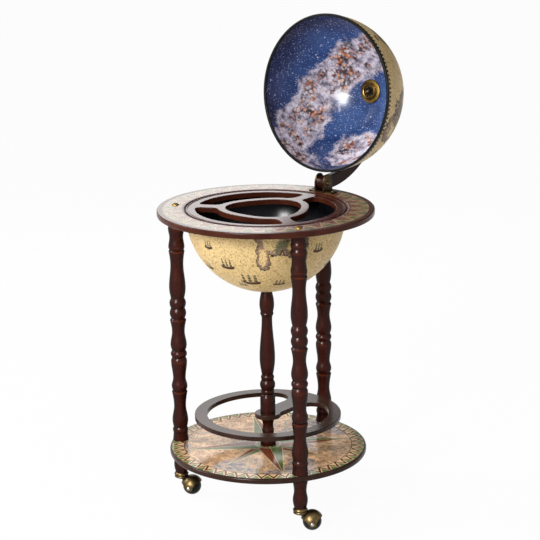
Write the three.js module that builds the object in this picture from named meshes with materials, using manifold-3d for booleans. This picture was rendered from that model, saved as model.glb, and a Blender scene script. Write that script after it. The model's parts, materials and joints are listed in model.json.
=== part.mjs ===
import * as THREE from 'three';
import { mergeVertices } from 'three/addons/utils/BufferGeometryUtils.js';
import Module from 'manifold-3d';

// Floor globe bar in millimetres, +Z up, standing on z = 0 with its lid swung open.
// Three turned legs and a turned column carry a round table ring and a bottom shelf.
// The lower half of the globe hangs in the ring under a cut-out tray, and the upper half
// is the lid, bolted at its pole to a curved arm that turns in a bracket over the rear leg.

const wasm = await Module();
wasm.setup();

const degree = Math.PI / 180;

// Clearances shared by all pieces
const seatGap = 0.3;
const boreClearance = 0.35;
const overrun = 3;

// Table ring, a board with a cove on its inner edge and a ledge that carries the tray
const tableTop = 639.2;
const boardThickness = 12;
const tableRadius = 225;
const tableEdgeRound = 2.5;
const tableBoardWidth = 50.5;
const coveWidth = 8.5;
const coveDepth = 4.8;
const ledgeDepth = 6;
const ledgeWidth = 9;
const lipGrooveDepth = 3.3;

// Tray, a rebated disc with a rounded three-lobed opening and three crescents round it
const trayDrop = 0.5;
const trayBeadWidth = 4;
const trayBeadNotch = 0.9;
const crescentInset = 20.5;
const openingShare = 0.53265;
const openingLobe = 6;
const ribbonShare = 0.25;
const bridgeHalfWidth = 13.5;
const crescentRoundShare = 0.206;

// Lower bowl of the globe
const bowlInset = 0.7;
const bowlWall = 2.5;
const bowlCentreDrop = 9.5;

// Legs, feet and bottom shelf
const legInset = 34.3;
const legRadius = 17.4;
const shelfTop = 122.2;
const shelfThickness = 12;
const shelfInset = 16.2;
const shelfEdgeRound = 4;
const footRadius = 16;
const footBottom = 49;
const studRadius = 4;
const studDepthInLeg = 33;
const studDepthInFoot = 26;
const boreSpare = 2;

// Centre column with the bottle holder clamped between its two lengths
const columnRadius = 16.3;
const holderTop = 193.2;
const holderThickness = 9.4;
const holderInset = 35.7;
const holderWidth = 26;
const holderTongueHalfWidth = 21;
const holderLobeRadius = 27.5;
const holderFilletRadius = 32;
const rodDepthInColumn = 38;
const nutAcrossFlats = 13;
const nutHeight = 6.5;
const washerRadius = 12;
const washerThickness = 1.6;
const rodTail = 2;

// Screws
const ringScrewHeadRadius = 7.4;
const ringScrewHeadHeight = 3;
const ringBoreSpare = 0.9;
const ringScrewRadius = 3;
const ringScrewLength = 36;
const bowlScrewHeadRadius = 8;
const bowlScrewHeadHeight = 3.2;
const bowlScrewRadius = 3;
const bowlScrewLength = 38;
const bracketScrewHeadRadius = 4.4;
const bracketScrewHeadHeight = 2.4;
const bracketScrewRadius = 1.8;
const bracketScrewDepth = 8;

// Hinge over the rear leg
const hingeOffset = 0.8;
const openAngle = 96.4;
const pinRadius = 3;
const pinHeadRadius = 5.2;
const pinHeadHeight = 3.2;
const capNutRadius = 5.4;
const capNutHeight = 7.5;
const cheekHalfWidth = 15.2;
const cheekRise = 20;
const cheekThickness = 4;
const cheekClearance = 0.6;
const bracketPlateHalfLength = 33;
const bracketPlateHalfWidth = 13;
const bracketPlateThickness = 2.5;
const bracketPlateRound = 8;
const bracketScrewSpread = 25;
const stopPadLength = 6;
const stopPadSetback = 8.6;

// Lid, the upper bowl of the globe, and its arm
const lidInset = 0.1;
const lidWall = 2.5;
const rimOverhang = 1.8;
const rimInset = 3.7;
const rimDrop = 4.2;
const rimLipRise = 2;
const rimSeatHeight = 0.5;
const armDepth = 27;
const armThickness = 16.5;
const armOverhang = 12;
const armKnuckleRadius = 15;
const armKnuckleClearance = 1.2;

// Hardware at the pole of the lid
const poleBoltRadius = 3;
const poleBoltHeadRadius = 9;
const poleBoltHeadHeight = 4;
const spacerRadius = 11;
const cupRadius = 26;
const cupDepth = 9;
const starRadius = 11.6;
const starRootRadius = 9;
const starPoints = 10;
const starThickness = 1.5;
const poleNutRadius = 5.2;
const poleNutHeight = 9;

// Hooded ball casters
const ballRadius = 20.5;
const ballBoreRadius = 2.6;
const casterOffset = 24;
const casterStemRadius = 4;
const casterStemRise = 24;
const socketRadius = 15.4;
const socketHeight = 12.8;
const socketClearance = 0.8;
const hoodGap = 1.8;
const hoodWall = 1.6;
const hornNeckRadius = 7.6;
const hornNeckInset = 7;
const hornNeckLean = 33 * degree;
const hornNeckLength = 16;
const hornCollarRadius = 9.6;
const hornCollarThickness = 2.2;
const hornCollarPlaceShare = 0.62;
const stemCollarRadius = 6.5;
const axleRadius = 2.2;
const rivetHeadRadius = 3.4;
const rivetHeadHeight = 1.1;

// Facet counts, and how far round or along each is spaced
const largeFacets = 28;
const globeRows = 6;
const turnedFacets = 9;
const ballFacets = 14;
const ballRows = 7;
const hoodFacets = 10;
const hoodRows = 5;
const cupFacets = 14;
const screwFacets = 8;
const arcSteps = 3;

// Directions of the three legs round the column, and where each caster points
const legs = [
  { name: 'front_left', direction: 210 * degree, heading: 21 * degree },
  { name: 'front_right', direction: 330 * degree, heading: 40 * degree },
  { name: 'rear', direction: 90 * degree, heading: 75 * degree },
];

// Heights and radii that follow from the driving dimensions
const tableUnderside = tableTop - boardThickness;
const coveOuterRadius = tableRadius - tableBoardWidth;
const coveInnerRadius = coveOuterRadius - coveWidth;
const crescentRadius = coveInnerRadius - crescentInset;
const openingRadius = crescentRadius * openingShare;
const ribbonWidth = (crescentRadius - openingRadius) * ribbonShare;
const crescentRound = (crescentRadius - openingRadius) * crescentRoundShare;
const bowlRadius = coveInnerRadius - bowlInset;
const legCircleRadius = tableRadius - legInset;
const shelfRadius = tableRadius - shelfInset;
const holderOuterRadius = legCircleRadius - holderInset;
const holderInnerRadius = holderOuterRadius - holderWidth;
const hingeSetback = legCircleRadius + hingeOffset;
const lidRadius = bowlRadius - lidInset;
const rimOuterRadius = lidRadius + rimOverhang;
const rimInnerRadius = lidRadius - rimInset;
const trayRadius = coveInnerRadius - boreClearance;
const ledgeTop = tableTop - ledgeDepth;
const ledgeRadius = coveInnerRadius - ledgeWidth;
const bowlCentre = tableTop - bowlCentreDrop;
const shelfUnderside = shelfTop - shelfThickness;
const holderUnderside = holderTop - holderThickness;
const lidCentreHeight = rimSeatHeight + rimDrop;
const knuckleRoom = armKnuckleRadius + armKnuckleClearance;
const hingeHeight = knuckleRoom + bracketPlateThickness + seatGap;
const pivotAngle = Math.atan2(hingeHeight - lidCentreHeight, hingeSetback);
const pivotRadius = Math.hypot(hingeSetback, hingeHeight - lidCentreHeight);
const armInnerRadius = pivotRadius - armDepth / 2;
const armOuterRadius = pivotRadius + armDepth / 2;
const ballFlatAngle = Math.acos(ballBoreRadius / ballRadius);
const ballTreadRadius = ballRadius * Math.cos(ballFlatAngle / ballRows);
const ballHeight = ballTreadRadius * Math.cos(Math.PI / ballFacets);
const studBore = studRadius + boreClearance;

// Turned outlines, as height share, radius share and whether the turning is round there

const legShares = [
  [0, 0.95, 'sharp'],
  [0.032, 0.862, 'sharp'],
  [0.047, 0.94, 'round'],
  [0.058, 0.833, 'sharp'],
  [0.091, 0.966, 'round'],
  [0.151, 0.73, 'round'],
  [0.216, 0.954, 'sharp'],
  [0.22, 0.805, 'sharp'],
  [0.24, 0.966, 'round'],
  [0.275, 0.77, 'round'],
  [0.351, 0.977, 'round'],
  [0.367, 0.816, 'sharp'],
  [0.383, 0.989, 'round'],
  [0.397, 0.816, 'sharp'],
  [0.423, 0.989, 'round'],
  [0.479, 0.77, 'round'],
  [0.53, 0.989, 'sharp'],
  [0.539, 0.816, 'sharp'],
  [0.561, 1, 'round'],
  [0.582, 0.828, 'sharp'],
  [0.605, 1, 'round'],
  [0.625, 0.81, 'sharp'],
  [0.672, 1, 'round'],
  [0.769, 0.784, 'round'],
  [0.829, 0.966, 'sharp'],
  [0.833, 0.862, 'sharp'],
  [0.846, 0.971, 'round'],
  [0.888, 0.828, 'round'],
  [0.925, 0.977, 'round'],
  [0.941, 0.851, 'sharp'],
  [0.955, 0.943, 'round'],
  [0.967, 0.856, 'sharp'],
  [1, 0.839, 'sharp'],
];

const footShares = [
  [0, 0.77, 'sharp'],
  [0.29, 0.97, 'round'],
  [0.6, 0.806, 'round'],
  [0.96, 1, 'sharp'],
  [1, 0.97, 'sharp'],
];

const upperColumnShares = [
  [0, 0.982, 'sharp'],
  [0.128, 0.982, 'sharp'],
  [0.154, 0.736, 'sharp'],
  [0.171, 0.859, 'round'],
  [0.188, 0.785, 'sharp'],
  [0.232, 0.994, 'round'],
  [0.269, 0.767, 'sharp'],
  [0.29, 0.859, 'round'],
  [0.312, 0.73, 'sharp'],
  [0.45, 1, 'round'],
  [0.769, 0.675, 'round'],
  [0.808, 0.871, 'sharp'],
  [0.819, 0.798, 'sharp'],
  [0.882, 0.945, 'round'],
  [1, 0.613, 'sharp'],
];

const lowerColumnShares = [
  [0, 1, 'sharp'],
  [0.15, 1, 'sharp'],
  [0.36, 0.7, 'round'],
  [0.5, 0.791, 'round'],
  [0.67, 0.669, 'round'],
  [1, 0.951, 'sharp'],
];

const socketShares = [
  [0, 0.76, 'sharp'],
  [0.2, 0.97, 'round'],
  [0.42, 0.9, 'sharp'],
  [0.68, 1, 'round'],
  [1, 0.82, 'sharp'],
];

// Dished cup at the pole, as radius share and depth share of its inner face
const cupFaceShares = [
  [1, 0.1],
  [0.96, 0.3],
  [0.72, 0.42],
  [0.66, 0.75],
  [0.56, 1],
  [0.49, 0.85],
  [0.46, 0.55],
];

// Edge of the hood seen along the axle, from far side to tongue and from tongue to neck,
// as shares of its outer radius from the centre of the ball
const hoodFarEdgeShares = [
  [1.2, 0.54],
  [0.88, 0.5],
  [0.5, 0.34],
  [0.36, 0],
];
const hoodNeckEdgeShares = [
  [-0.36, 0],
  [-0.52, 0.2],
  [-0.76, 0.3],
  [-1.2, 0.3],
];

// General makers of solids

function arc(centreX, centreY, radius, from, to, steps = arcSteps) {
  const points = [];
  for (let i = 0; i <= steps; i += 1) {
    const angle = from + ((to - from) * i) / steps;
    const x = centreX + radius * Math.cos(angle);
    const y = centreY + radius * Math.sin(angle);
    points.push(new THREE.Vector2(x, y));
  }
  return points;
}

function point(x, y) {
  return new THREE.Vector2(x, y);
}

// A profile of radius and height, listed with the material on its left, spun round Z
function revolve(profile, facets) {
  const geometry = new THREE.LatheGeometry(profile, facets);
  geometry.rotateX(Math.PI / 2);
  return geometry;
}

function closedLoop(profile) {
  return [...profile, profile[0].clone()];
}

function extrude(shape, depth, curveSegments = arcSteps) {
  return new THREE.ExtrudeGeometry(shape, { depth, bevelEnabled: false, curveSegments });
}

// A flat outline of Y and Z, given its thickness along X and centred on X = 0
function extrudeAlongX(shape, thickness, curveSegments) {
  const geometry = extrude(shape, thickness, curveSegments);
  geometry.translate(0, 0, -thickness / 2);
  const y = new THREE.Vector3(0, 1, 0);
  const z = new THREE.Vector3(0, 0, 1);
  const x = new THREE.Vector3(1, 0, 0);
  geometry.applyMatrix4(new THREE.Matrix4().makeBasis(y, z, x));
  return geometry;
}

function rod(radius, bottom, top, facets = screwFacets) {
  return revolve([point(0, bottom), point(radius, bottom), point(radius, top), point(0, top)], facets);
}

function toSolid(geometry) {
  const bare = geometry.clone();
  bare.deleteAttribute('normal');
  bare.deleteAttribute('uv');
  const merged = mergeVertices(bare);
  const corners = merged.index.array;
  const kept = [];
  for (let i = 0; i < corners.length; i += 3) {
    const [a, b, c] = corners.slice(i, i + 3);
    if (a !== b && b !== c && c !== a) {
      kept.push(a, b, c);
    }
  }
  const mesh = new wasm.Mesh({
    numProp: 3,
    vertProperties: merged.attributes.position.array,
    triVerts: new Uint32Array(kept),
  });
  return new wasm.Manifold(mesh);
}

function toGeometry(solid) {
  const mesh = solid.getMesh();
  const geometry = new THREE.BufferGeometry();
  geometry.setAttribute('position', new THREE.BufferAttribute(mesh.vertProperties, 3));
  geometry.setIndex(new THREE.BufferAttribute(mesh.triVerts, 1));
  geometry.computeVertexNormals();
  return geometry;
}

function piece(name, geometry, material) {
  const mesh = new THREE.Mesh(geometry, material);
  mesh.name = name;
  return mesh;
}

// Finishes

function stainedWood() {
  return new THREE.MeshStandardMaterial({ color: 0x2e1512, roughness: 0.35, metalness: 0 });
}

function printedBoard() {
  return new THREE.MeshStandardMaterial({ color: 0xcdb48c, roughness: 0.45, metalness: 0 });
}

function trayLacquer() {
  return new THREE.MeshStandardMaterial({ color: 0x4a3a36, roughness: 0.4, metalness: 0 });
}

function parchmentPrint() {
  return new THREE.MeshStandardMaterial({ color: 0xe2c98c, roughness: 0.4, metalness: 0 });
}

function nightPrint() {
  return new THREE.MeshStandardMaterial({ color: 0x3a4470, roughness: 0.4, metalness: 0 });
}

function blackPlastic() {
  return new THREE.MeshStandardMaterial({ color: 0x111111, roughness: 0.35, metalness: 0 });
}

function antiqueBrass() {
  return new THREE.MeshStandardMaterial({ color: 0x9a7433, roughness: 0.35, metalness: 1 });
}

function steel() {
  return new THREE.MeshStandardMaterial({ color: 0xb8bbbe, roughness: 0.35, metalness: 1 });
}

// Turned pieces

function stretchSteps(from, to) {
  if (from[2] === 'sharp' && to[2] === 'sharp') {
    return 1;
  }
  if (from[2] === 'round' && to[2] === 'round') {
    return 3;
  }
  return 2;
}

// Share of the way across a stretch: it leaves and meets a round station level
function easing(from, to, t) {
  if (from[2] === 'round' && to[2] === 'round') {
    return (1 - Math.cos(Math.PI * t)) / 2;
  }
  if (from[2] === 'round') {
    return 1 - Math.cos((Math.PI * t) / 2);
  }
  if (to[2] === 'round') {
    return Math.sin((Math.PI * t) / 2);
  }
  return t;
}

function turnedOutline(shares, bottom, top, radius) {
  const outline = [point(radius * shares[0][1], bottom + (top - bottom) * shares[0][0])];
  for (let i = 1; i < shares.length; i += 1) {
    const from = shares[i - 1];
    const to = shares[i];
    const steps = stretchSteps(from, to);
    for (let s = 1; s <= steps; s += 1) {
      const t = s / steps;
      const radiusShare = from[1] + (to[1] - from[1]) * easing(from, to, t);
      const heightShare = from[0] + (to[0] - from[0]) * t;
      outline.push(point(radius * radiusShare, bottom + (top - bottom) * heightShare));
    }
  }
  return outline;
}

// A turned length with a blind bore up from its bottom and one down from its top
function turnedPiece(shares, bottom, top, radius, lowerBore, upperBore) {
  const profile = [
    point(0, bottom + lowerBore.depth),
    point(lowerBore.radius, bottom + lowerBore.depth),
    point(lowerBore.radius, bottom),
    ...turnedOutline(shares, bottom, top, radius),
    point(upperBore.radius, top),
    point(upperBore.radius, top - upperBore.depth),
    point(0, top - upperBore.depth),
  ];
  return revolve(profile, turnedFacets);
}

// Screws and nuts

// A domed screw standing head up, with the seat of its head at z = 0
function domedScrew(headRadius, headHeight, shankRadius, shankLength) {
  const profile = [
    point(0, -shankLength),
    point(shankRadius, -shankLength),
    point(shankRadius, 0),
    point(headRadius, 0),
    point(headRadius, headHeight / 3),
    point(headRadius * Math.cos(Math.PI / 4), headHeight * Math.sin(Math.PI / 4)),
    point(0, headHeight),
  ];
  return revolve(profile, screwFacets);
}

// A domed cap nut standing on z = 0, open below for the end of its bolt
function capNut(radius, height, boltRadius) {
  const bore = boltRadius + boreClearance;
  const boreDepth = height / 2;
  const profile = [
    point(0, boreDepth),
    point(bore, boreDepth),
    point(bore, 0),
    point(radius, 0),
    point(radius, height / 2),
    point(radius * Math.cos(Math.PI / 4), height * Math.sin(Math.PI / 3)),
    point(0, height),
  ];
  return revolve(profile, screwFacets);
}

function hexNut(acrossFlats, height, boltRadius) {
  const cornerRadius = acrossFlats / 2 / Math.cos(Math.PI / 6);
  const shape = new THREE.Shape();
  for (let i = 0; i < 6; i += 1) {
    const angle = (i * Math.PI) / 3;
    const x = cornerRadius * Math.cos(angle);
    const y = cornerRadius * Math.sin(angle);
    if (i === 0) {
      shape.moveTo(x, y);
    } else {
      shape.lineTo(x, y);
    }
  }
  const bore = new THREE.Path();
  bore.absarc(0, 0, boltRadius + boreClearance, 0, 2 * Math.PI, true);
  shape.holes.push(bore);
  return extrude(shape, height, screwFacets / 2);
}

function washer(outerRadius, innerRadius, bottom, top) {
  const profile = [
    point(innerRadius, bottom),
    point(outerRadius, bottom),
    point(outerRadius, top),
    point(innerRadius, top),
  ];
  return revolve(closedLoop(profile), turnedFacets);
}

// Table ring

const ringCounterbore = ringScrewHeadHeight + seatGap;

function makeTableRing() {
  const lipOuter = bowlRadius + boreClearance;
  const lipInner = bowlRadius - bowlWall - boreClearance;
  const cove = [];
  for (let i = 0; i <= arcSteps; i += 1) {
    const angle = (i * Math.PI) / 2 / arcSteps;
    const x = coveOuterRadius - coveWidth * Math.sin(angle);
    const y = tableTop - coveDepth * (1 - Math.cos(angle));
    cove.push(point(x, y));
  }
  const edgeCentre = tableRadius - tableEdgeRound;
  const profile = [
    point(ledgeRadius, tableUnderside),
    point(lipInner, tableUnderside),
    point(lipInner, tableUnderside + lipGrooveDepth),
    point(lipOuter, tableUnderside + lipGrooveDepth),
    point(lipOuter, tableUnderside),
    ...arc(edgeCentre, tableUnderside + tableEdgeRound, tableEdgeRound, -Math.PI / 2, 0, 1),
    ...arc(edgeCentre, tableTop - tableEdgeRound, tableEdgeRound, 0, Math.PI / 2, 2),
    ...cove,
    point(coveInnerRadius, ledgeTop),
    point(ledgeRadius, ledgeTop),
  ];
  let ring = toSolid(revolve(closedLoop(profile), largeFacets));
  for (const leg of legs) {
    const x = legCircleRadius * Math.cos(leg.direction);
    const y = legCircleRadius * Math.sin(leg.direction);
    const boreRadius = ringScrewRadius + boreClearance;
    const shank = rod(boreRadius, tableUnderside - overrun, tableTop + overrun);
    const head = rod(ringScrewHeadRadius + ringBoreSpare, tableTop - ringCounterbore, tableTop + overrun);
    ring = ring.subtract(toSolid(shank.translate(x, y, 0)));
    ring = ring.subtract(toSolid(head.translate(x, y, 0)));
  }
  for (const side of [-1, 1]) {
    const boreRadius = bracketScrewRadius + boreClearance;
    const bore = rod(boreRadius, tableTop - bracketScrewDepth - boreSpare, tableTop + overrun);
    ring = ring.subtract(toSolid(bore.translate(side * bracketScrewSpread, hingeSetback, 0)));
  }
  return piece('table_ring', toGeometry(ring), printedBoard());
}

function makeRingScrew(leg) {
  const screw = domedScrew(ringScrewHeadRadius, ringScrewHeadHeight, ringScrewRadius, ringScrewLength);
  const mesh = piece(`ring_screw_${leg.name}`, screw, antiqueBrass());
  const x = legCircleRadius * Math.cos(leg.direction);
  const y = legCircleRadius * Math.sin(leg.direction);
  mesh.position.set(x, y, tableTop - ringCounterbore + seatGap);
  return mesh;
}

// Tray

// Edge of the rounded three-lobed opening, whose lobes point at the legs
function lobedRadius(angle, width) {
  return openingRadius + width + openingLobe * Math.cos(3 * (angle - Math.PI / 2));
}

function lobedOpening() {
  const steps = 8 * arcSteps;
  const shape = new THREE.Shape();
  for (let i = 0; i < steps; i += 1) {
    const angle = (2 * Math.PI * i) / steps;
    const radius = lobedRadius(angle, 0);
    const x = radius * Math.cos(angle);
    const y = radius * Math.sin(angle);
    if (i === 0) {
      shape.moveTo(x, y);
    } else {
      shape.lineTo(x, y);
    }
  }
  return shape;
}

// One crescent, drawn about +X between two bridges and turned to its place
function crescentOpening() {
  const half = Math.PI / 3;
  const shape = new THREE.Shape();
  const outerEnd = half - Math.asin(bridgeHalfWidth / crescentRadius);
  const outerStop = outerEnd - crescentRound / crescentRadius;
  const innerEdge = lobedRadius(Math.PI / 2, ribbonWidth);
  const innerEnd = half - Math.asin(bridgeHalfWidth / innerEdge);
  const innerStop = innerEnd - crescentRound / innerEdge;
  const steps = arcSteps * 2;
  const inner = [];
  for (let i = 0; i <= steps; i += 1) {
    const angle = innerStop - (2 * innerStop * i) / steps;
    const radius = lobedRadius(angle + Math.PI / 6, ribbonWidth);
    inner.push(point(radius * Math.cos(angle), radius * Math.sin(angle)));
  }
  const innerCorner = point(innerEdge * Math.cos(innerEnd), innerEdge * Math.sin(innerEnd));
  const outerCorner = point(crescentRadius * Math.cos(outerEnd), crescentRadius * Math.sin(outerEnd));
  const along = outerCorner.clone().sub(innerCorner).normalize().multiplyScalar(crescentRound);
  const innerJoin = innerCorner.clone().add(along);
  const outerJoin = outerCorner.clone().sub(along);
  shape.absarc(0, 0, crescentRadius, -outerStop, outerStop, false);
  shape.quadraticCurveTo(outerCorner.x, outerCorner.y, outerJoin.x, outerJoin.y);
  shape.lineTo(innerJoin.x, innerJoin.y);
  shape.quadraticCurveTo(innerCorner.x, innerCorner.y, inner[0].x, inner[0].y);
  for (const next of inner.slice(1)) {
    shape.lineTo(next.x, next.y);
  }
  shape.quadraticCurveTo(innerCorner.x, -innerCorner.y, innerJoin.x, -innerJoin.y);
  shape.lineTo(outerJoin.x, -outerJoin.y);
  const start = point(crescentRadius * Math.cos(outerStop), -crescentRadius * Math.sin(outerStop));
  shape.quadraticCurveTo(outerCorner.x, -outerCorner.y, start.x, start.y);
  return shape;
}

function makeTray() {
  const top = tableTop - trayDrop;
  const underside = tableUnderside + seatGap;
  const flangeUnderside = ledgeTop + seatGap;
  const plugRadius = ledgeRadius - boreClearance;
  const beadRadius = trayBeadWidth / 2;
  const beadCentre = trayRadius - beadRadius;
  const profile = [
    point(0, underside),
    point(plugRadius, underside),
    point(plugRadius, flangeUnderside),
    point(trayRadius, flangeUnderside),
    ...arc(beadCentre, top - beadRadius, beadRadius, 0, Math.PI * 0.75, 3),
    point(beadCentre - beadRadius, top - trayBeadNotch),
    point(beadCentre - trayBeadWidth, top),
    point(0, top),
  ];
  let tray = toSolid(revolve(profile, largeFacets));
  const cutDepth = boardThickness + 2 * overrun;
  const centre = extrude(lobedOpening(), cutDepth);
  tray = tray.subtract(toSolid(centre.translate(0, 0, underside - overrun)));
  for (const leg of legs) {
    const crescent = extrude(crescentOpening(), cutDepth, arcSteps + 1);
    crescent.rotateZ(leg.direction + Math.PI / 3);
    tray = tray.subtract(toSolid(crescent.translate(0, 0, underside - overrun)));
  }
  return piece('tray', toGeometry(tray), trayLacquer());
}

// Lower bowl of the globe and the screw that draws it down onto the column

function makeLowerBowl() {
  const rimHeight = tableUnderside + lipGrooveDepth - seatGap;
  const bore = bowlScrewRadius + boreClearance;
  const innerRadius = bowlRadius - bowlWall;
  const outerStart = -Math.acos(bore / bowlRadius);
  const seatStart = -Math.acos(bowlScrewHeadRadius / innerRadius);
  const profile = [
    ...arc(0, bowlCentre, bowlRadius, outerStart, 0, globeRows),
    point(bowlRadius, rimHeight),
    point(innerRadius, rimHeight),
    ...arc(0, bowlCentre, innerRadius, 0, seatStart, globeRows),
    point(bore, bowlCentre - Math.sqrt(innerRadius ** 2 - bore ** 2)),
  ];
  return piece('lower_globe_bowl', revolve(closedLoop(profile), largeFacets), parchmentPrint());
}

function makeBowlScrew() {
  const screw = domedScrew(bowlScrewHeadRadius, bowlScrewHeadHeight, bowlScrewRadius, bowlScrewLength);
  const mesh = piece('bowl_screw', screw, antiqueBrass());
  const innerRadius = bowlRadius - bowlWall;
  const seat = Math.sqrt(innerRadius ** 2 - bowlScrewHeadRadius ** 2);
  mesh.position.z = bowlCentre - seat + seatGap;
  return mesh;
}

// Centre column, bottle holder and the rod through them

const columnTop = bowlCentre - bowlRadius - seatGap;

function makeUpperColumn() {
  const lowerBore = { radius: studBore, depth: rodDepthInColumn + boreSpare };
  const upperBore = { radius: bowlScrewRadius + boreClearance, depth: bowlScrewLength + boreSpare };
  const bottom = holderTop + seatGap;
  const column = turnedPiece(upperColumnShares, bottom, columnTop, columnRadius, lowerBore, upperBore);
  return piece('upper_column', column, stainedWood());
}

function makeLowerColumn() {
  const bottom = shelfTop + seatGap;
  const top = holderUnderside - seatGap;
  const profile = [
    point(studBore, bottom),
    ...turnedOutline(lowerColumnShares, bottom, top, columnRadius),
    point(studBore, top),
  ];
  return piece('lower_column', revolve(closedLoop(profile), turnedFacets), stainedWood());
}

function makeColumnRod() {
  const bottom = shelfUnderside - washerThickness - nutHeight - rodTail;
  const rodSolid = rod(studRadius, bottom, holderTop + rodDepthInColumn);
  return piece('column_tie_rod', rodSolid, steel());
}

function makeColumnWasher() {
  const top = shelfUnderside - seatGap;
  const disc = washer(washerRadius, studBore, top - washerThickness, top);
  return piece('column_washer', disc, steel());
}

function makeColumnNut() {
  const mesh = piece('column_nut', hexNut(nutAcrossFlats, nutHeight, studRadius), steel());
  mesh.position.z = shelfUnderside - 2 * seatGap - washerThickness - nutHeight;
  return mesh;
}

// A flat ring with a tongue from its back that ends in a round lobe under the column
function makeBottleHolder() {
  const tongue = holderTongueHalfWidth;
  const fillet = holderFilletRadius;
  const filletX = tongue + fillet;
  const filletY = Math.sqrt((holderInnerRadius - fillet) ** 2 - filletX ** 2);
  const filletAngle = Math.atan2(filletY, filletX);
  const lobeAngle = Math.acos(tongue / holderLobeRadius);
  const outline = new THREE.Shape(arc(0, 0, holderOuterRadius, 0, 2 * Math.PI, largeFacets));
  const opening = [
    ...arc(filletX, filletY, fillet, Math.PI, filletAngle),
    ...arc(0, 0, holderInnerRadius, filletAngle, -Math.PI - filletAngle, largeFacets - arcSteps).slice(1),
    ...arc(-filletX, filletY, fillet, Math.PI - filletAngle, 0).slice(1),
    ...arc(0, 0, holderLobeRadius, Math.PI - lobeAngle, 2 * Math.PI + lobeAngle, turnedFacets - 2),
  ];
  outline.holes.push(new THREE.Path(opening));
  outline.holes.push(new THREE.Path(arc(0, 0, studBore, 2 * Math.PI, 0, turnedFacets)));
  const geometry = extrude(outline, holderThickness);
  geometry.translate(0, 0, holderUnderside);
  return piece('bottle_holder', geometry, trayLacquer());
}

// Bottom shelf

function makeBottomShelf() {
  const edgeCentre = shelfRadius - shelfEdgeRound;
  const profile = [
    point(0, shelfUnderside),
    ...arc(edgeCentre, shelfUnderside + shelfEdgeRound, shelfEdgeRound, -Math.PI / 2, 0, 2),
    ...arc(edgeCentre, shelfTop - shelfEdgeRound, shelfEdgeRound, 0, Math.PI / 2, 2),
    point(0, shelfTop),
  ];
  let shelf = toSolid(revolve(profile, largeFacets));
  const bore = rod(studBore, shelfUnderside - overrun, shelfTop + overrun);
  shelf = shelf.subtract(toSolid(bore));
  for (const leg of legs) {
    const x = legCircleRadius * Math.cos(leg.direction);
    const y = legCircleRadius * Math.sin(leg.direction);
    shelf = shelf.subtract(toSolid(bore.clone().translate(x, y, 0)));
  }
  return piece('bottom_shelf', toGeometry(shelf), printedBoard());
}

// Legs, feet and the studs that join them through the shelf

function makeLeg(leg) {
  const lowerBore = { radius: studBore, depth: studDepthInLeg + boreSpare };
  const upperBore = { radius: ringScrewRadius + boreClearance, depth: ringScrewLength };
  const bottom = shelfTop + seatGap;
  const top = tableUnderside - seatGap;
  const geometry = turnedPiece(legShares, bottom, top, legRadius, lowerBore, upperBore);
  return piece(`leg_${leg.name}`, geometry, stainedWood());
}

function makeFoot(leg) {
  const lowerBore = { radius: casterStemRadius + boreClearance, depth: casterStemRise + boreSpare };
  const upperBore = { radius: studBore, depth: studDepthInFoot + boreSpare };
  const top = shelfUnderside - seatGap;
  const geometry = turnedPiece(footShares, footBottom, top, footRadius, lowerBore, upperBore);
  return piece(`foot_${leg.name}`, geometry, stainedWood());
}

function makeStud(leg) {
  const bottom = shelfUnderside - studDepthInFoot;
  const top = shelfTop + studDepthInLeg;
  return piece(`leg_stud_${leg.name}`, rod(studRadius, bottom, top), steel());
}

// Hooded ball caster, drawn with its stem on Z and its ball towards +X

function makeCasterSocket(leg) {
  const top = footBottom - seatGap;
  const bottom = top - socketHeight;
  const bore = casterStemRadius + boreClearance;
  const profile = [
    point(bore, bottom),
    ...turnedOutline(socketShares, bottom, top, socketRadius),
    point(bore, top),
  ];
  const geometry = revolve(closedLoop(profile), turnedFacets);
  return piece(`caster_socket_${leg.name}`, geometry, antiqueBrass());
}

function sphere(radius) {
  return revolve(arc(0, 0, radius, -Math.PI / 2, Math.PI / 2, hoodRows), hoodFacets);
}

// Outline of what is left of the hood: all above its edge, and a tongue round the axle
function hoodOutline() {
  const outer = ballRadius + hoodGap + hoodWall;
  const farEdge = hoodFarEdgeShares.map(([x, y]) => point(x * outer, y * outer));
  const neckEdge = hoodNeckEdgeShares.map(([x, y]) => point(x * outer, y * outer));
  const tongueRadius = farEdge[farEdge.length - 1].x;
  const tongue = arc(0, 0, tongueRadius, 0, -Math.PI, arcSteps + 1).slice(1, -1);
  const above = [point(neckEdge[neckEdge.length - 1].x, outer + overrun), point(farEdge[0].x, outer + overrun)];
  return new THREE.Shape([...farEdge, ...tongue, ...neckEdge, ...above]);
}

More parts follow.
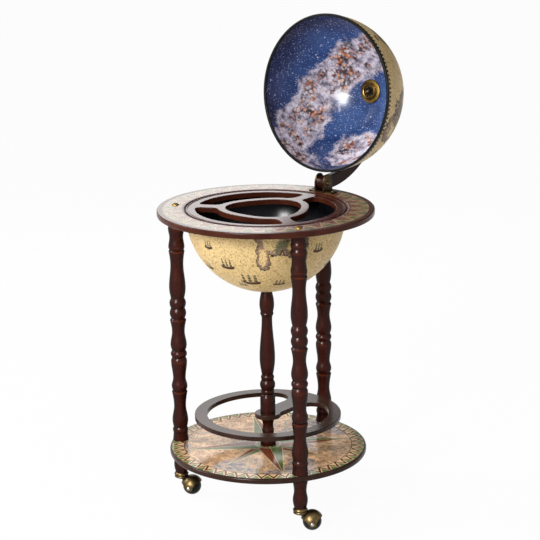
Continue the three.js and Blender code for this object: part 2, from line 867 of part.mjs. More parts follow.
function makeCasterHorn(leg) {
  const inner = ballRadius + hoodGap;
  const outer = inner + hoodWall;
  const span = 2 * (outer + overrun);
  const prism = extrude(hoodOutline(), span);
  prism.translate(0, 0, -span / 2);
  prism.rotateX(Math.PI / 2);
  const hollow = toSolid(sphere(inner).rotateX(Math.PI / 2));
  const hood = toSolid(sphere(outer).rotateX(Math.PI / 2)).intersect(toSolid(prism));

  // The neck leans from under the socket into the hood, with a collar where they meet
  const neckTop = footBottom - 2 * seatGap - socketHeight - ballHeight;
  const neckX = hornNeckInset - casterOffset;
  const neck = rod(hornNeckRadius, -hornNeckLength, hornNeckRadius);
  neck.rotateY(-hornNeckLean);
  neck.translate(neckX, 0, neckTop);
  const collarDrop = hornNeckLength * hornCollarPlaceShare;
  const collar = rod(hornCollarRadius, -collarDrop - hornCollarThickness, -collarDrop);
  collar.rotateY(-hornNeckLean);
  collar.translate(neckX, 0, neckTop);
  const swingRoom = rod(socketRadius + socketClearance, neckTop, neckTop + casterOffset, turnedFacets);
  swingRoom.translate(-casterOffset, 0, 0);
  const stemCollar = rod(stemCollarRadius, neckTop - hornCollarThickness, neckTop);
  stemCollar.translate(-casterOffset, 0, 0);
  const stemTop = footBottom + casterStemRise - ballHeight;
  const stem = rod(casterStemRadius, neckTop - hornCollarThickness, stemTop);
  stem.translate(-casterOffset, 0, 0);
  let horn = hood.add(toSolid(neck)).add(toSolid(collar)).subtract(toSolid(swingRoom));
  horn = horn.add(toSolid(stemCollar)).add(toSolid(stem)).subtract(hollow);
  const bore = rod(axleRadius + boreClearance, -span, span).rotateX(Math.PI / 2);
  horn = horn.subtract(toSolid(bore));
  return piece(`caster_horn_${leg.name}`, toGeometry(horn), antiqueBrass());
}

function makeCasterAxle(leg) {
  const outer = ballRadius + hoodGap + hoodWall + seatGap;
  const profile = [
    point(0, -outer - rivetHeadHeight),
    point(rivetHeadRadius, -outer - rivetHeadHeight / 2),
    point(rivetHeadRadius, -outer),
    point(axleRadius, -outer),
    point(axleRadius, outer),
    point(rivetHeadRadius, outer),
    point(rivetHeadRadius, outer + rivetHeadHeight / 2),
    point(0, outer + rivetHeadHeight),
  ];
  const geometry = revolve(profile, screwFacets).rotateX(Math.PI / 2);
  return piece(`caster_axle_${leg.name}`, geometry, steel());
}

function makeCasterBall(leg) {
  const profile = arc(0, 0, ballRadius, -ballFlatAngle, ballFlatAngle, ballRows);
  const geometry = revolve(closedLoop(profile), ballFacets).rotateX(Math.PI / 2);
  geometry.rotateY(Math.PI / ballFacets);
  return piece(`caster_ball_${leg.name}`, geometry, blackPlastic());
}

function makeCaster(leg) {
  const caster = new THREE.Group();
  const carried = new THREE.Group();
  carried.add(makeCasterHorn(leg), makeCasterAxle(leg), makeCasterBall(leg));
  carried.position.set(casterOffset, 0, ballHeight);
  caster.add(carried);
  caster.rotation.z = leg.heading - leg.direction;
  return caster;
}

function makeLegAssembly(leg) {
  const group = new THREE.Group();
  const upright = new THREE.Group();
  upright.add(makeLeg(leg), makeFoot(leg), makeStud(leg), makeCasterSocket(leg), makeCaster(leg));
  upright.position.x = legCircleRadius;
  group.add(upright);
  group.rotation.z = leg.direction;
  return group;
}

// Hinge bracket, its pin and its screws, drawn about the pivot

function cheekOutline() {
  const shape = new THREE.Shape();
  const foot = -hingeHeight + seatGap;
  shape.moveTo(-cheekHalfWidth, foot);
  shape.lineTo(cheekHalfWidth, foot);
  shape.absellipse(0, 0, cheekHalfWidth, cheekRise, 0, Math.PI, false, 0);
  return shape;
}

function bracketPlateOutline() {
  const x = bracketPlateHalfLength - bracketPlateRound;
  const y = bracketPlateHalfWidth - bracketPlateRound;
  const shape = new THREE.Shape();
  shape.absarc(x, y, bracketPlateRound, 0, Math.PI / 2, false);
  shape.absarc(-x, y, bracketPlateRound, Math.PI / 2, Math.PI, false);
  shape.absarc(-x, -y, bracketPlateRound, Math.PI, 1.5 * Math.PI, false);
  shape.absarc(x, -y, bracketPlateRound, 1.5 * Math.PI, 2 * Math.PI, false);
  return shape;
}

const cheekInside = armThickness / 2 + cheekClearance;

function makeHingeBracket() {
  const foot = -hingeHeight + seatGap;
  const plate = extrude(bracketPlateOutline(), bracketPlateThickness, 2);
  let bracket = toSolid(plate.translate(0, 0, foot));
  for (const side of [-1, 1]) {
    const cheek = extrudeAlongX(cheekOutline(), cheekThickness, arcSteps + 2);
    cheek.translate(side * (cheekInside + cheekThickness / 2), 0, 0);
    bracket = bracket.add(toSolid(cheek));
  }

  // The pad between the cheeks that the arm comes down on when the lid is open
  const openCentre = openPlace(-hingeSetback, lidCentreHeight - hingeHeight);
  const padTop = openCentre.y - armOuterRadius - seatGap;
  const pad = new THREE.BoxGeometry(2 * cheekInside + cheekThickness, stopPadLength, padTop - foot);
  pad.translate(0, stopPadSetback + stopPadLength / 2, (padTop + foot) / 2);
  bracket = bracket.add(toSolid(pad));

  const pinBore = rod(pinRadius + boreClearance, -bracketPlateHalfLength, bracketPlateHalfLength);
  bracket = bracket.subtract(toSolid(pinBore.rotateY(Math.PI / 2)));
  for (const side of [-1, 1]) {
    const bore = rod(bracketScrewRadius + boreClearance, foot - overrun, foot + hingeHeight);
    bracket = bracket.subtract(toSolid(bore.translate(side * bracketScrewSpread, 0, 0)));
  }
  return piece('hinge_bracket', toGeometry(bracket), antiqueBrass());
}

// Where a point of the closed lid, given from the pivot as y and z, stands when it is open
function openPlace(y, z) {
  const turn = -openAngle * degree;
  return point(y * Math.cos(turn) - z * Math.sin(turn), y * Math.sin(turn) + z * Math.cos(turn));
}

function makeBracketScrew(side, name) {
  const length = bracketScrewDepth + bracketPlateThickness;
  const screw = domedScrew(bracketScrewHeadRadius, bracketScrewHeadHeight, bracketScrewRadius, length);
  const mesh = piece(name, screw, antiqueBrass());
  mesh.position.set(side * bracketScrewSpread, 0, -hingeHeight + 2 * seatGap + bracketPlateThickness);
  return mesh;
}

const cheekOutside = cheekInside + cheekThickness;

function makeHingePin() {
  const length = 2 * cheekOutside + 2 * seatGap + capNutHeight / 3;
  const screw = domedScrew(pinHeadRadius, pinHeadHeight, pinRadius, length);
  const mesh = piece('hinge_pin', screw, antiqueBrass());
  mesh.rotation.y = Math.PI / 2;
  mesh.position.x = cheekOutside + seatGap;
  return mesh;
}

function makeHingeNut() {
  const mesh = piece('hinge_pin_nut', capNut(capNutRadius, capNutHeight, pinRadius), antiqueBrass());
  mesh.rotation.y = -Math.PI / 2;
  mesh.position.x = -cheekOutside - seatGap;
  return mesh;
}

function makeHinge() {
  const hinge = new THREE.Group();
  hinge.add(
    makeHingeBracket(),
    makeBracketScrew(-1, 'bracket_screw_left'),
    makeBracketScrew(1, 'bracket_screw_right'),
    makeHingePin(),
    makeHingeNut(),
  );
  hinge.position.set(0, hingeSetback, tableTop + hingeHeight);
  return hinge;
}

// Lid and arm, drawn closed about the centre of the lid with its pole up

function makeArm() {
  const endAngle = Math.PI / 2 + armOverhang / pivotRadius;
  const pivotY = pivotRadius * Math.cos(pivotAngle);
  const pivotZ = pivotRadius * Math.sin(pivotAngle);
  const endY = pivotRadius * Math.cos(endAngle);
  const endZ = pivotRadius * Math.sin(endAngle);
  const half = armDepth / 2;
  const shape = new THREE.Shape();
  shape.absarc(0, 0, armOuterRadius, pivotAngle, endAngle, false);
  shape.absarc(endY, endZ, half, endAngle, endAngle + Math.PI, false);
  shape.absarc(0, 0, armInnerRadius, endAngle, pivotAngle, true);
  shape.absarc(pivotY, pivotZ, half, pivotAngle + Math.PI, pivotAngle + 2 * Math.PI, false);
  const knuckle = new THREE.Shape();
  knuckle.absarc(pivotY, pivotZ, armKnuckleRadius, 0, 2 * Math.PI, false);
  const pinBore = rod(pinRadius + boreClearance, -armThickness, armThickness).rotateY(Math.PI / 2);
  const bore = rod(poleBoltRadius + boreClearance, armInnerRadius - overrun, armOuterRadius + overrun);
  const spotFace = rod(spacerRadius + boreClearance, armInnerRadius - overrun, armInnerRadius, turnedFacets);
  let arm = toSolid(extrudeAlongX(shape, armThickness, arcSteps * 2));
  arm = arm.add(toSolid(extrudeAlongX(knuckle, armThickness, arcSteps * 2)));
  arm = arm.subtract(toSolid(pinBore.translate(0, pivotY, pivotZ)));
  arm = arm.subtract(toSolid(bore)).subtract(toSolid(spotFace));
  return piece('meridian_arm', toGeometry(arm), stainedWood());
}

function makeLidShell() {
  const bore = poleBoltRadius + boreClearance;
  const innerRadius = lidRadius - lidWall;
  const outerEnd = Math.acos(bore / lidRadius);
  const seatEnd = Math.acos(cupRadius / innerRadius);
  const profile = [
    ...arc(0, 0, lidRadius, 0, outerEnd, globeRows),
    point(bore, Math.sqrt(innerRadius ** 2 - bore ** 2)),
    ...arc(0, 0, innerRadius, seatEnd, 0, globeRows),
  ];
  return piece('lid_shell', revolve(closedLoop(profile), largeFacets), nightPrint());
}

function makeLidRim() {
  const lipRadius = lidRadius + boreClearance;
  const profile = [
    point(rimInnerRadius, -rimDrop),
    point(rimOuterRadius, -rimDrop),
    point(rimOuterRadius, rimLipRise),
    point(lipRadius, rimLipRise),
    point(lipRadius, -seatGap),
    point(rimInnerRadius, -seatGap),
  ];
  return piece('lid_rim', revolve(closedLoop(profile), largeFacets), blackPlastic());
}

function makePoleBolt() {
  const head = armOuterRadius + seatGap;
  const length = head - starSeat + starThickness + poleNutHeight / 3;
  const bolt = domedScrew(poleBoltHeadRadius, poleBoltHeadHeight, poleBoltRadius, length);
  const mesh = piece('pole_bolt', bolt, antiqueBrass());
  mesh.position.z = head;
  return mesh;
}

function makePoleSpacer() {
  const bore = poleBoltRadius + boreClearance;
  const bush = washer(spacerRadius, bore, lidRadius + seatGap, armInnerRadius - seatGap);
  return piece('pole_spacer', bush, antiqueBrass());
}

// Height of the cup's edge, where it meets the inside of the lid
const cupSeat = Math.sqrt((lidRadius - lidWall) ** 2 - cupRadius ** 2) - seatGap;
const cupFloorShare = cupFaceShares[cupFaceShares.length - 1][1];
const starSeat = cupSeat - cupDepth * cupFloorShare - seatGap;

function makePoleCup() {
  const bore = poleBoltRadius + boreClearance;
  const face = cupFaceShares.map(([r, z]) => point(cupRadius * r, cupSeat - cupDepth * z));
  const profile = [
    point(bore, cupSeat - cupDepth * cupFloorShare),
    ...face.reverse(),
    point(cupRadius, cupSeat),
    point(bore, cupSeat),
  ];
  return piece('pole_cup_washer', revolve(closedLoop(profile), cupFacets), antiqueBrass());
}

function makePoleStar() {
  const shape = new THREE.Shape();
  for (let i = 0; i < 2 * starPoints; i += 1) {
    const angle = (i * Math.PI) / starPoints;
    const radius = i % 2 === 0 ? starRadius : starRootRadius;
    const x = radius * Math.cos(angle);
    const y = radius * Math.sin(angle);
    if (i === 0) {
      shape.moveTo(x, y);
    } else {
      shape.lineTo(x, y);
    }
  }
  const bore = new THREE.Path();
  bore.absarc(0, 0, poleBoltRadius + boreClearance, 0, 2 * Math.PI, true);
  shape.holes.push(bore);
  const geometry = extrude(shape, starThickness, screwFacets / 2);
  geometry.translate(0, 0, starSeat - starThickness);
  return piece('pole_star_washer', geometry, blackPlastic());
}

function makePoleNut() {
  const nut = capNut(poleNutRadius, poleNutHeight, poleBoltRadius);
  const mesh = piece('pole_cap_nut', nut, antiqueBrass());
  mesh.rotation.x = Math.PI;
  mesh.position.z = starSeat - starThickness - seatGap;
  return mesh;
}

function makeLid() {
  const pivot = new THREE.Group();
  const closed = new THREE.Group();
  closed.add(
    makeArm(),
    makeLidShell(),
    makeLidRim(),
    makePoleBolt(),
    makePoleSpacer(),
    makePoleCup(),
    makePoleStar(),
    makePoleNut(),
  );
  closed.position.set(0, -hingeSetback, lidCentreHeight - hingeHeight);
  pivot.add(closed);
  pivot.rotation.x = -openAngle * degree;
  pivot.position.set(0, hingeSetback, tableTop + hingeHeight);
  return pivot;
}

// The whole bar, with its origin on the floor under the middle of its bounding box

function makeGlobeBar() {
  const bar = new THREE.Group();
  bar.add(
    makeTableRing(),
    makeTray(),
    makeLowerBowl(),
    makeBowlScrew(),
    makeUpperColumn(),
    makeLowerColumn(),
    makeColumnRod(),
    makeColumnWasher(),
    makeColumnNut(),
    makeBottleHolder(),
    makeBottomShelf(),
    makeHinge(),
    makeLid(),
  );
  for (const leg of legs) {
    bar.add(makeRingScrew(leg), makeLegAssembly(leg));
  }
  bar.updateMatrixWorld(true);
  const box = new THREE.Box3().setFromObject(bar, true);
  bar.position.y = -(box.min.y + box.max.y) / 2;
  bar.updateMatrixWorld(true);
  return bar;
}

export default makeGlobeBar();
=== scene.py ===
import json
import math

import bmesh
import bpy
from mathutils import Matrix, Vector


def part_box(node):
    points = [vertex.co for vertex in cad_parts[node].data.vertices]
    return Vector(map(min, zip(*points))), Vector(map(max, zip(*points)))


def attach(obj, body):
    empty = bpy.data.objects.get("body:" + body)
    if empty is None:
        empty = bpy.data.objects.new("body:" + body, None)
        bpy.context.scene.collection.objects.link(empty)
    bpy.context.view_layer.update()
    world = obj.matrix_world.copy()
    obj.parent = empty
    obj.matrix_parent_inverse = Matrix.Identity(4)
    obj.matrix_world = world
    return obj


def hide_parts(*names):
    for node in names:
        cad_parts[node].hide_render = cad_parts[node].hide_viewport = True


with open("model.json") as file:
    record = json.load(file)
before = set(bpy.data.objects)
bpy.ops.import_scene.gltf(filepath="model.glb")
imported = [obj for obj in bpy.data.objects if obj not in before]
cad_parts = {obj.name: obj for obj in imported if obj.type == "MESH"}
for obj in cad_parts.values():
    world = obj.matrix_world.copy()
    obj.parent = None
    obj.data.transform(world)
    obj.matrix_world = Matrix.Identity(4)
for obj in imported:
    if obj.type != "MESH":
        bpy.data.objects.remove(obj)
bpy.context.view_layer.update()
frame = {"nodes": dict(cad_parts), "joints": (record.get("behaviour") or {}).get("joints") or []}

# ---- Legs, feet and centre column
# Lengths of beech turned on a lathe, stained dark mahogany and sprayed with satin lacquer.
# The sharp shoulders of narrow beads are painted a lighter orange-brown: a painted highlight where light
# catches them, and stain worn thin there.

MM = 0.001
CREASE = math.radians(35)


def linear(colour):
    """An sRGB hex colour as the linear red, green, blue and alpha that a node takes."""
    shares = [int(colour[i : i + 2], 16) / 255 for i in (1, 3, 5)]
    return [s / 12.92 if s <= 0.04045 else ((s + 0.055) / 1.055) ** 2.4 for s in shares] + [1.0]


def adder(tree):
    """Empties a node tree and gives the function that adds shader nodes to it."""
    tree.nodes.clear()

    def add(kind, inputs=(), stops=(), **named):
        """Adds a node of a kind, such as Mapping or VectorMath LENGTH, where SINE alone is a Math
        node. Names with a capital are inputs, the others settings of the node. An input is a value,
        a hex colour, a socket, or a node whose shown output is meant."""
        kind, *operation = (f"Math {kind}" if kind.isupper() else kind).split()
        node = tree.nodes.new("ShaderNode" + kind)
        if operation:
            node.operation = operation[0]
        inputs = dict(enumerate(inputs))
        for name, value in named.items():
            if name[0].isupper():
                inputs[name.replace("_", " ")] = value
            else:
                setattr(node, name, value)
        for key, value in inputs.items():
            if isinstance(value, bpy.types.Node):
                value = next(output for output in value.outputs if output.enabled)
            if isinstance(value, bpy.types.NodeSocket):
                tree.links.new(value, node.inputs[key])
            else:
                node.inputs[key].default_value = linear(value) if isinstance(value, str) else value
        for i, (place, colour) in enumerate(stops):
            elements = node.color_ramp.elements
            element = elements[i] if i < 2 else elements.new(place)
            element.position = place
            element.color = linear(colour)
        return node

    return add


def new_material(name):
    """A material, the function that adds its nodes, and where a point lies on the piece, in metres."""
    made = bpy.data.materials.new(name)
    made.use_nodes = True
    add = adder(made.node_tree)
    return made, add, add("TexCoord").outputs["Object"]


def lathe(name, profile, segments=64, ring=False):
    """Spins a profile of radius, height and share of painted highlight with worn stain, in mm,
    round Z. A ring closes on itself.
    """
    shape = bmesh.new()
    rubbed = shape.verts.layers.float.new("rubbed")
    rows = []
    for radius, height, *glint_and_rub_share in profile:
        row = []
        for i in range(segments if radius > 1e-6 else 1):
            angle = 2 * math.pi * i / segments
            x, y = radius * math.cos(angle), radius * math.sin(angle)
            vert = shape.verts.new((x * MM, y * MM, height * MM))
            vert[rubbed] = glint_and_rub_share[0] if glint_and_rub_share else 0.0
            row.append(vert)
        rows.append(row)
    if ring:
        rows.append(rows[0])
    for low, high in zip(rows, rows[1:]):
        for i in range(segments):
            j = i + 1
            corners = (low[i % len(low)], low[j % len(low)], high[j % len(high)], high[i % len(high)])
            kept = list(dict.fromkeys(corners))
            if len(kept) > 2:
                shape.faces.new(kept)
    return finish_mesh(name, shape)


def finish_mesh(name, shape):
    """Turns a bmesh into an object, smooth but for edges that turn by more than CREASE."""
    bmesh.ops.recalc_face_normals(shape, faces=shape.faces)
    mesh = bpy.data.meshes.new(name)
    shape.to_mesh(mesh)
    shape.free()
    mesh.shade_smooth()
    mesh.set_sharp_from_angle(angle=CREASE)
    return linked(name, mesh)


def linked(name, data):
    """An object with this data, in the scene."""
    made = bpy.data.objects.new(name, data)
    bpy.context.scene.collection.objects.link(made)
    return made


def fit(piece, finishes, body, node, place):
    """Puts a piece in its place, rides it on its body and lets it stand for its CAD node."""
    if not piece.data.materials:
        for finish in finishes:
            piece.data.materials.append(finish)
    piece.matrix_world = place
    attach(piece, body)
    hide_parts(node)


def shift(x, y, z):
    """A move by so many mm."""
    return Matrix.Translation((x * MM, y * MM, z * MM))


def heights(node):
    """The lowest and the highest level of a CAD node, in mm."""
    low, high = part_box(node)
    return low.z / MM, high.z / MM


def turned(shares, bottom, top, radius):
    """A turned outline from stations of height share, radius share, and r where it is round or s where it
    is sharp. Narrow bead edges get a painted highlight with worn stain, most of all the narrowest."""
    outline, edges = [], []
    for (below, _, _), (height, share, _), (above, _, _) in zip(shares, shares[1:], shares[2:]):
        narrow = min(height - below, above - height)
        if share > 0.9 and narrow < 0.018:
            edges.append((height, 1.0 if narrow < 0.006 else 0.4))
    for (h0, r0, k0), (h1, r1, k1) in zip(shares, shares[1:]):
        count = 2 if k0 == k1 == "s" else 7
        for s in range(count + (h1 == shares[-1][0])):
            t = s / count
            ease = {
                "ss": t, "rr": (1 - math.cos(math.pi * t)) / 2,
                "rs": 1 - math.cos(math.pi / 2 * t), "sr": math.sin(math.pi / 2 * t),
            }[k0 + k1]
            height = h0 + (h1 - h0) * t
            glint_and_rub_share = [much * math.exp(-abs(height - edge) * (top - bottom) / 0.8) for edge, much in edges]
            wide = radius * (r0 + (r1 - r0) * ease)
            outline.append((wide, bottom + (top - bottom) * height, max(glint_and_rub_share, default=0)))
    return [(0, outline[0][1]), *outline, (0, outline[-1][1])]


beech, add, where = new_material("beech_mahogany_stain_satin_lacquer")
# Fibres run up the turning, about 1 mm apart and 20 mm long, and the stain takes unevenly
fibres = add("Mapping", Vector=where, Scale=(950, 950, 50))
grain = add("TexNoise", Vector=fibres, Scale=1, Detail=5, Roughness=0.6)
blotches = add("TexNoise", Vector=where, Scale=28, Detail=3)
stain = add("MULTIPLY_ADD", [grain, 0.6, add("MULTIPLY", [blotches, 0.4])])
body_colour = add("ValToRGB", [stain], stops=[(0.3, "#290e08"), (0.5, "#3c150c"), (0.72, "#4c1c10")])
# Bead edges are mixed to a lighter orange-brown, a painted highlight with worn stain
glint_and_rub = add("Attribute", attribute_name="rubbed").outputs["Fac"]
glint_and_rub = add("MULTIPLY", [glint_and_rub, add("MULTIPLY", [grain, 1.2])])
colour = add("MixRGB", [glint_and_rub, body_colour, "#7c381b"])
pores = add("Bump", Height=grain, Strength=0.015, Distance=0.0002)
gloss = add("MapRange", [blotches, 0, 1, 0.24, 0.3])
# A turning is painted darker at its edges than in the middle, a painted shade, and it reflects less there
edge_on = add("LayerWeight", Blend=0.5)
painted_edge_shade = add("MapRange", [edge_on.outputs["Facing"], 0.03, 0.5, 0, 0.85])
colour = add("MixRGB", [painted_edge_shade, colour, "#150806"])
sheen = add("MapRange", [edge_on.outputs["Facing"], 0.25, 0.85, 0.12, 0])
add("OutputMaterial", [add(
    "BsdfPrincipled", Base_Color=colour, Roughness=gloss, Normal=pores, Specular_IOR_Level=sheen,
)])

leg_axes = {}
for joint in frame["joints"]:
    if joint["name"].endswith("_swivel"):
        leg = joint["name"].removeprefix("caster_").removesuffix("_swivel")
        leg_axes[leg] = Vector(joint["pos_m"][:2] + [0])
column_axis = sum(leg_axes.values(), Vector()) / len(leg_axes)
on_column = Matrix.Translation(column_axis)

leg_shares = [
    (0, 0.95, "s"), (0.032, 0.862, "s"), (0.047, 0.94, "r"), (0.058, 0.833, "s"), (0.091, 0.966, "r"),
    (0.151, 0.73, "r"), (0.216, 0.954, "s"), (0.22, 0.805, "s"), (0.24, 0.966, "r"), (0.275, 0.77, "r"),
    (0.351, 0.977, "r"), (0.367, 0.816, "s"), (0.383, 0.989, "r"), (0.397, 0.816, "s"), (0.423, 0.989, "r"),
    (0.479, 0.77, "r"), (0.53, 0.989, "s"), (0.539, 0.816, "s"), (0.561, 1, "r"), (0.582, 0.828, "s"),
    (0.605, 1, "r"), (0.625, 0.81, "s"), (0.672, 1, "r"), (0.769, 0.784, "r"), (0.829, 0.966, "s"),
    (0.833, 0.862, "s"), (0.846, 0.971, "r"), (0.888, 0.828, "r"), (0.925, 0.977, "r"), (0.941, 0.851, "s"),
    (0.955, 0.943, "r"), (0.967, 0.856, "s"), (1, 0.839, "s"),
]
foot_shares = [(0, 0.77, "s"), (0.29, 0.97, "r"), (0.6, 0.806, "r"), (0.96, 1, "s"), (1, 0.97, "s")]
upper_column_shares = [
    (0, 0.982, "s"), (0.128, 0.982, "s"), (0.154, 0.736, "s"), (0.171, 0.859, "r"), (0.188, 0.785, "s"),
    (0.232, 0.994, "r"), (0.269, 0.767, "s"), (0.29, 0.859, "r"), (0.312, 0.73, "s"), (0.45, 1, "r"),
    (0.769, 0.675, "r"), (0.808, 0.871, "s"), (0.819, 0.798, "s"), (0.882, 0.945, "r"), (1, 0.613, "s"),
]
lower_column_shares = [
    (0, 1, "s"), (0.15, 1, "s"), (0.36, 0.7, "r"), (0.5, 0.791, "r"), (0.67, 0.669, "r"), (1, 0.951, "s"),
]
leg_radius, foot_radius, column_radius = 17.4, 16, 16.3
turnings = []
for name, axis in leg_axes.items():
    place = Matrix.Translation(axis) @ Matrix.Rotation(math.atan2(axis.y, axis.x), 4, "Z")
    turnings.append((f"turned_leg_{name}", leg_shares, leg_radius, f"leg_{name}", place))
    turnings.append((f"turned_foot_{name}", foot_shares, foot_radius, f"foot_{name}", place))
turnings += [
    ("turned_column_upper", upper_column_shares, column_radius, "upper_column", on_column),
    ("turned_column_lower", lower_column_shares, column_radius, "lower_column", on_column),
]
for name, shares, radius, node, place in turnings:
    turning = lathe(name, turned(shares, *heights(node), radius))
    fit(turning, [beech], "stand", node, place)

# ---- Table ring
# A ring of fibreboard, stained brown with a routed cove round the opening, and a printed paper band
# let in between rim and cove. Three brass screws with domed heads hold it down on the legs.


def arc(x, y, radius, start, stop, steps, squash=1.0):
    """Points on an arc, with its angles in degrees, of a circle or of an ellipse squashed in y."""
    angles = [math.radians(start + (stop - start) * i / steps) for i in range(steps + 1)]
    return [(x + radius * math.cos(a), y + radius * squash * math.sin(a)) for a in angles]


def rod(radius, low, high):
    """The profile of a plain cylinder."""
    return [(0, low), (radius, low), (radius, high), (0, high)]


def carve(piece, tool, operation="DIFFERENCE"):
    """Cuts a piece with a tool, or joins them, and takes the tool away."""
    step = piece.modifiers.new("carve", "BOOLEAN")
    step.object = tool
    step.operation = operation
    bpy.context.view_layer.update()
    cut = piece.evaluated_get(bpy.context.evaluated_depsgraph_get())
    carved = bpy.data.meshes.new_from_object(cut)
    piece.modifiers.clear()
    piece.data = carved
    bpy.data.objects.remove(tool)
    piece.data.shade_smooth()
    piece.data.set_sharp_from_angle(angle=CREASE)


def on_board(add, where):
    """Where a point lies on a round board in mm, its distance from the middle and its angle."""
    flat = add("VectorMath MULTIPLY", [where, (1000, 1000, 0)])
    part = add("SeparateXYZ", [flat])
    return flat, add("VectorMath LENGTH", [flat]), add("ARCTAN2", [part.outputs["Y"], part.outputs["X"]])


def print_top(piece, level, inner, outer):
    """Gives the faces that look up at a level, between two radii in mm, the second material."""
    for face in piece.data.polygons:
        on_top = face.normal.z > 0.99 and abs(face.center.z / MM - level) < 0.2
        if on_top and inner < face.center.xy.length / MM < outer:
            face.material_index = 1


def cloudy(name, stops, clouds, dull, bright, nap=(), edge_colour="", **surface):
    """A finish whose colour and gloss vary in clouds. It may have a nap, of a scale and a bump strength,
    and a painted shade colour that darkens it where it is seen edge-on."""
    made, add, where = new_material(name)
    clouds = add("TexNoise", Vector=where, **clouds)
    colour = add("ValToRGB", [clouds], stops=stops)
    # Seen edge-on, the finish is mixed to a dark colour, a painted shade
    if edge_colour:
        edges = add("LayerWeight", Blend=0.35)
        colour = add("MixRGB", [edges.outputs["Facing"], colour, edge_colour])
    gloss = add("MapRange", [clouds, 0, 1, dull, bright])
    if nap:
        fine = add("TexNoise", Vector=where, Scale=nap[0], Detail=2)
        surface["Normal"] = add("Bump", Height=fine, Strength=nap[1], Distance=0.0001)
    add("OutputMaterial", [add("BsdfPrincipled", Base_Color=colour, Roughness=gloss, **surface)])
    return made


# No grain shows in the board, only cloudy stain some 40 mm across and the fine nap of the spray
lacquer = {
    "clouds": {"Scale": 25, "Detail": 4, "Roughness": 0.55}, "dull": 0.22, "bright": 0.28,
    "nap": (900, 0.01), "Specular_IOR_Level": 0.11,
}
fibreboard = cloudy("fibreboard_brown_stain_satin_lacquer", [(0.3, "#3b180e"), (0.7, "#4e2618")], **lacquer)

table_top, table_bottom, table_radius, edge_round = 639.2, 627.2, 225, 2.5
band_inner, band_outer, cove_width, cove_depth = 174.5, 213.0, 8.5, 4.8
# The ledge carries the tray, and the groove under it takes the lip of the bowl
opening_radius, ledge_radius, ledge_level = 157, 166, 633.2
groove_inner, groove_outer, groove_top = 162.45, 165.65, 630.5
seat_gap = 0.3
tooth_turn = math.radians(6)
band_print, add, where = new_material("printed_paper_band_under_lacquer")
_, radius, angle = on_board(add, where)
across = add("MapRange", [radius, band_inner + 1.5, band_outer - 1.5])
# Long teeth 12 degrees apart point outwards, and short green ones inwards between them
wave = add("DIVIDE", [add("PINGPONG", [angle, tooth_turn]), tooth_turn])
inks = add("TexNoise", Vector=where, Scale=130, Detail=6, Roughness=0.7)
worn_across = add("MULTIPLY_ADD", [inks, 0.5, add("ADD", [across, -0.2])])
tooth = add("SUBTRACT", [wave, add("ADD", [worn_across, 0.02])])
long_tooth = add("MapRange", [tooth, 0, 0.06])
edge = add("LESS_THAN", [add("ABSOLUTE", [tooth]), 0.05])
short_tooth = add("MapRange", [add("SUBTRACT", [0.42, wave]), 0, 0.05])
outer_part = add("GREATER_THAN", [worn_across, 0.55])
short_tooth = add("MULTIPLY", [short_tooth, outer_part])
paper = add("ValToRGB", [inks], stops=[
    (0.38, "#4e4631"), (0.45, "#826a4d"), (0.52, "#a68a63"), (0.6, "#6c553e"),
])
rust = add("ValToRGB", [inks], stops=[(0.38, "#431c14"), (0.5, "#6c3125"), (0.6, "#8e6450")])
green = add("ValToRGB", [inks], stops=[(0.38, "#3d4429"), (0.6, "#76774b")])
colour = add("MixRGB", [add("MULTIPLY", [short_tooth, 0.8]), paper, green])
colour = add("MixRGB", [add("MULTIPLY", [long_tooth, 0.8]), colour, rust])
colour = add("MixRGB", [add("MULTIPLY", [edge, 0.6]), colour, "#bfa578"])
add("OutputMaterial", [add("BsdfPrincipled", Base_Color=colour, Roughness=0.24, Specular_IOR_Level=0.13)])

rim_centre = table_radius - edge_round
profile = [
    (opening_radius, table_bottom), (groove_inner, table_bottom), (groove_inner, groove_top),
    (groove_outer, groove_top), (groove_outer, table_bottom),
    *arc(rim_centre, table_bottom + edge_round, edge_round, -90, 0, 5),
    *arc(rim_centre, table_top - edge_round, edge_round, 0, 90, 5),
    (rim_centre - 0.5, table_top), (band_outer, table_top), (band_inner + 0.6, table_top),
    *arc(band_inner, table_top - cove_depth, cove_width, 90, 180, 10, cove_depth / cove_width),
    (ledge_radius, ledge_level), (opening_radius, ledge_level),
]
ring = lathe("table_ring_board", profile, 180, ring=True)
screw_head, screw_rise, screw_spare = 7.4, 3.0, 0.9
bore_radius, seat, beyond = screw_head + screw_spare, table_top - screw_rise - seat_gap, table_top + 1
for axis in leg_axes.values():
    bore = lathe("bore", rod(bore_radius, seat, beyond), 40)
    bore.matrix_world = Matrix.Translation(axis - column_axis)
    carve(ring, bore)
print_top(ring, table_top, band_inner, band_outer)
fit(ring, [fibreboard, band_print], "stand", "table_ring", on_column)

# ---- Tray
# The same board cut out as a tray for glasses: a centre opening with three soft lobes and three
# crescents round it, every edge eased by hand, and a raised bead where it lies in the ring.


def grown(outline, by):
    """A closed outline moved outwards, or inwards where by is negative."""
    moved = []
    for i, (x, y) in enumerate(outline):
        (x0, y0), (x1, y1) = outline[i - 1], outline[(i + 1) % len(outline)]
        length = math.hypot(x1 - x0, y1 - y0)
        moved.append((x + by * (y1 - y0) / length, y - by * (x1 - x0) / length))
    return moved


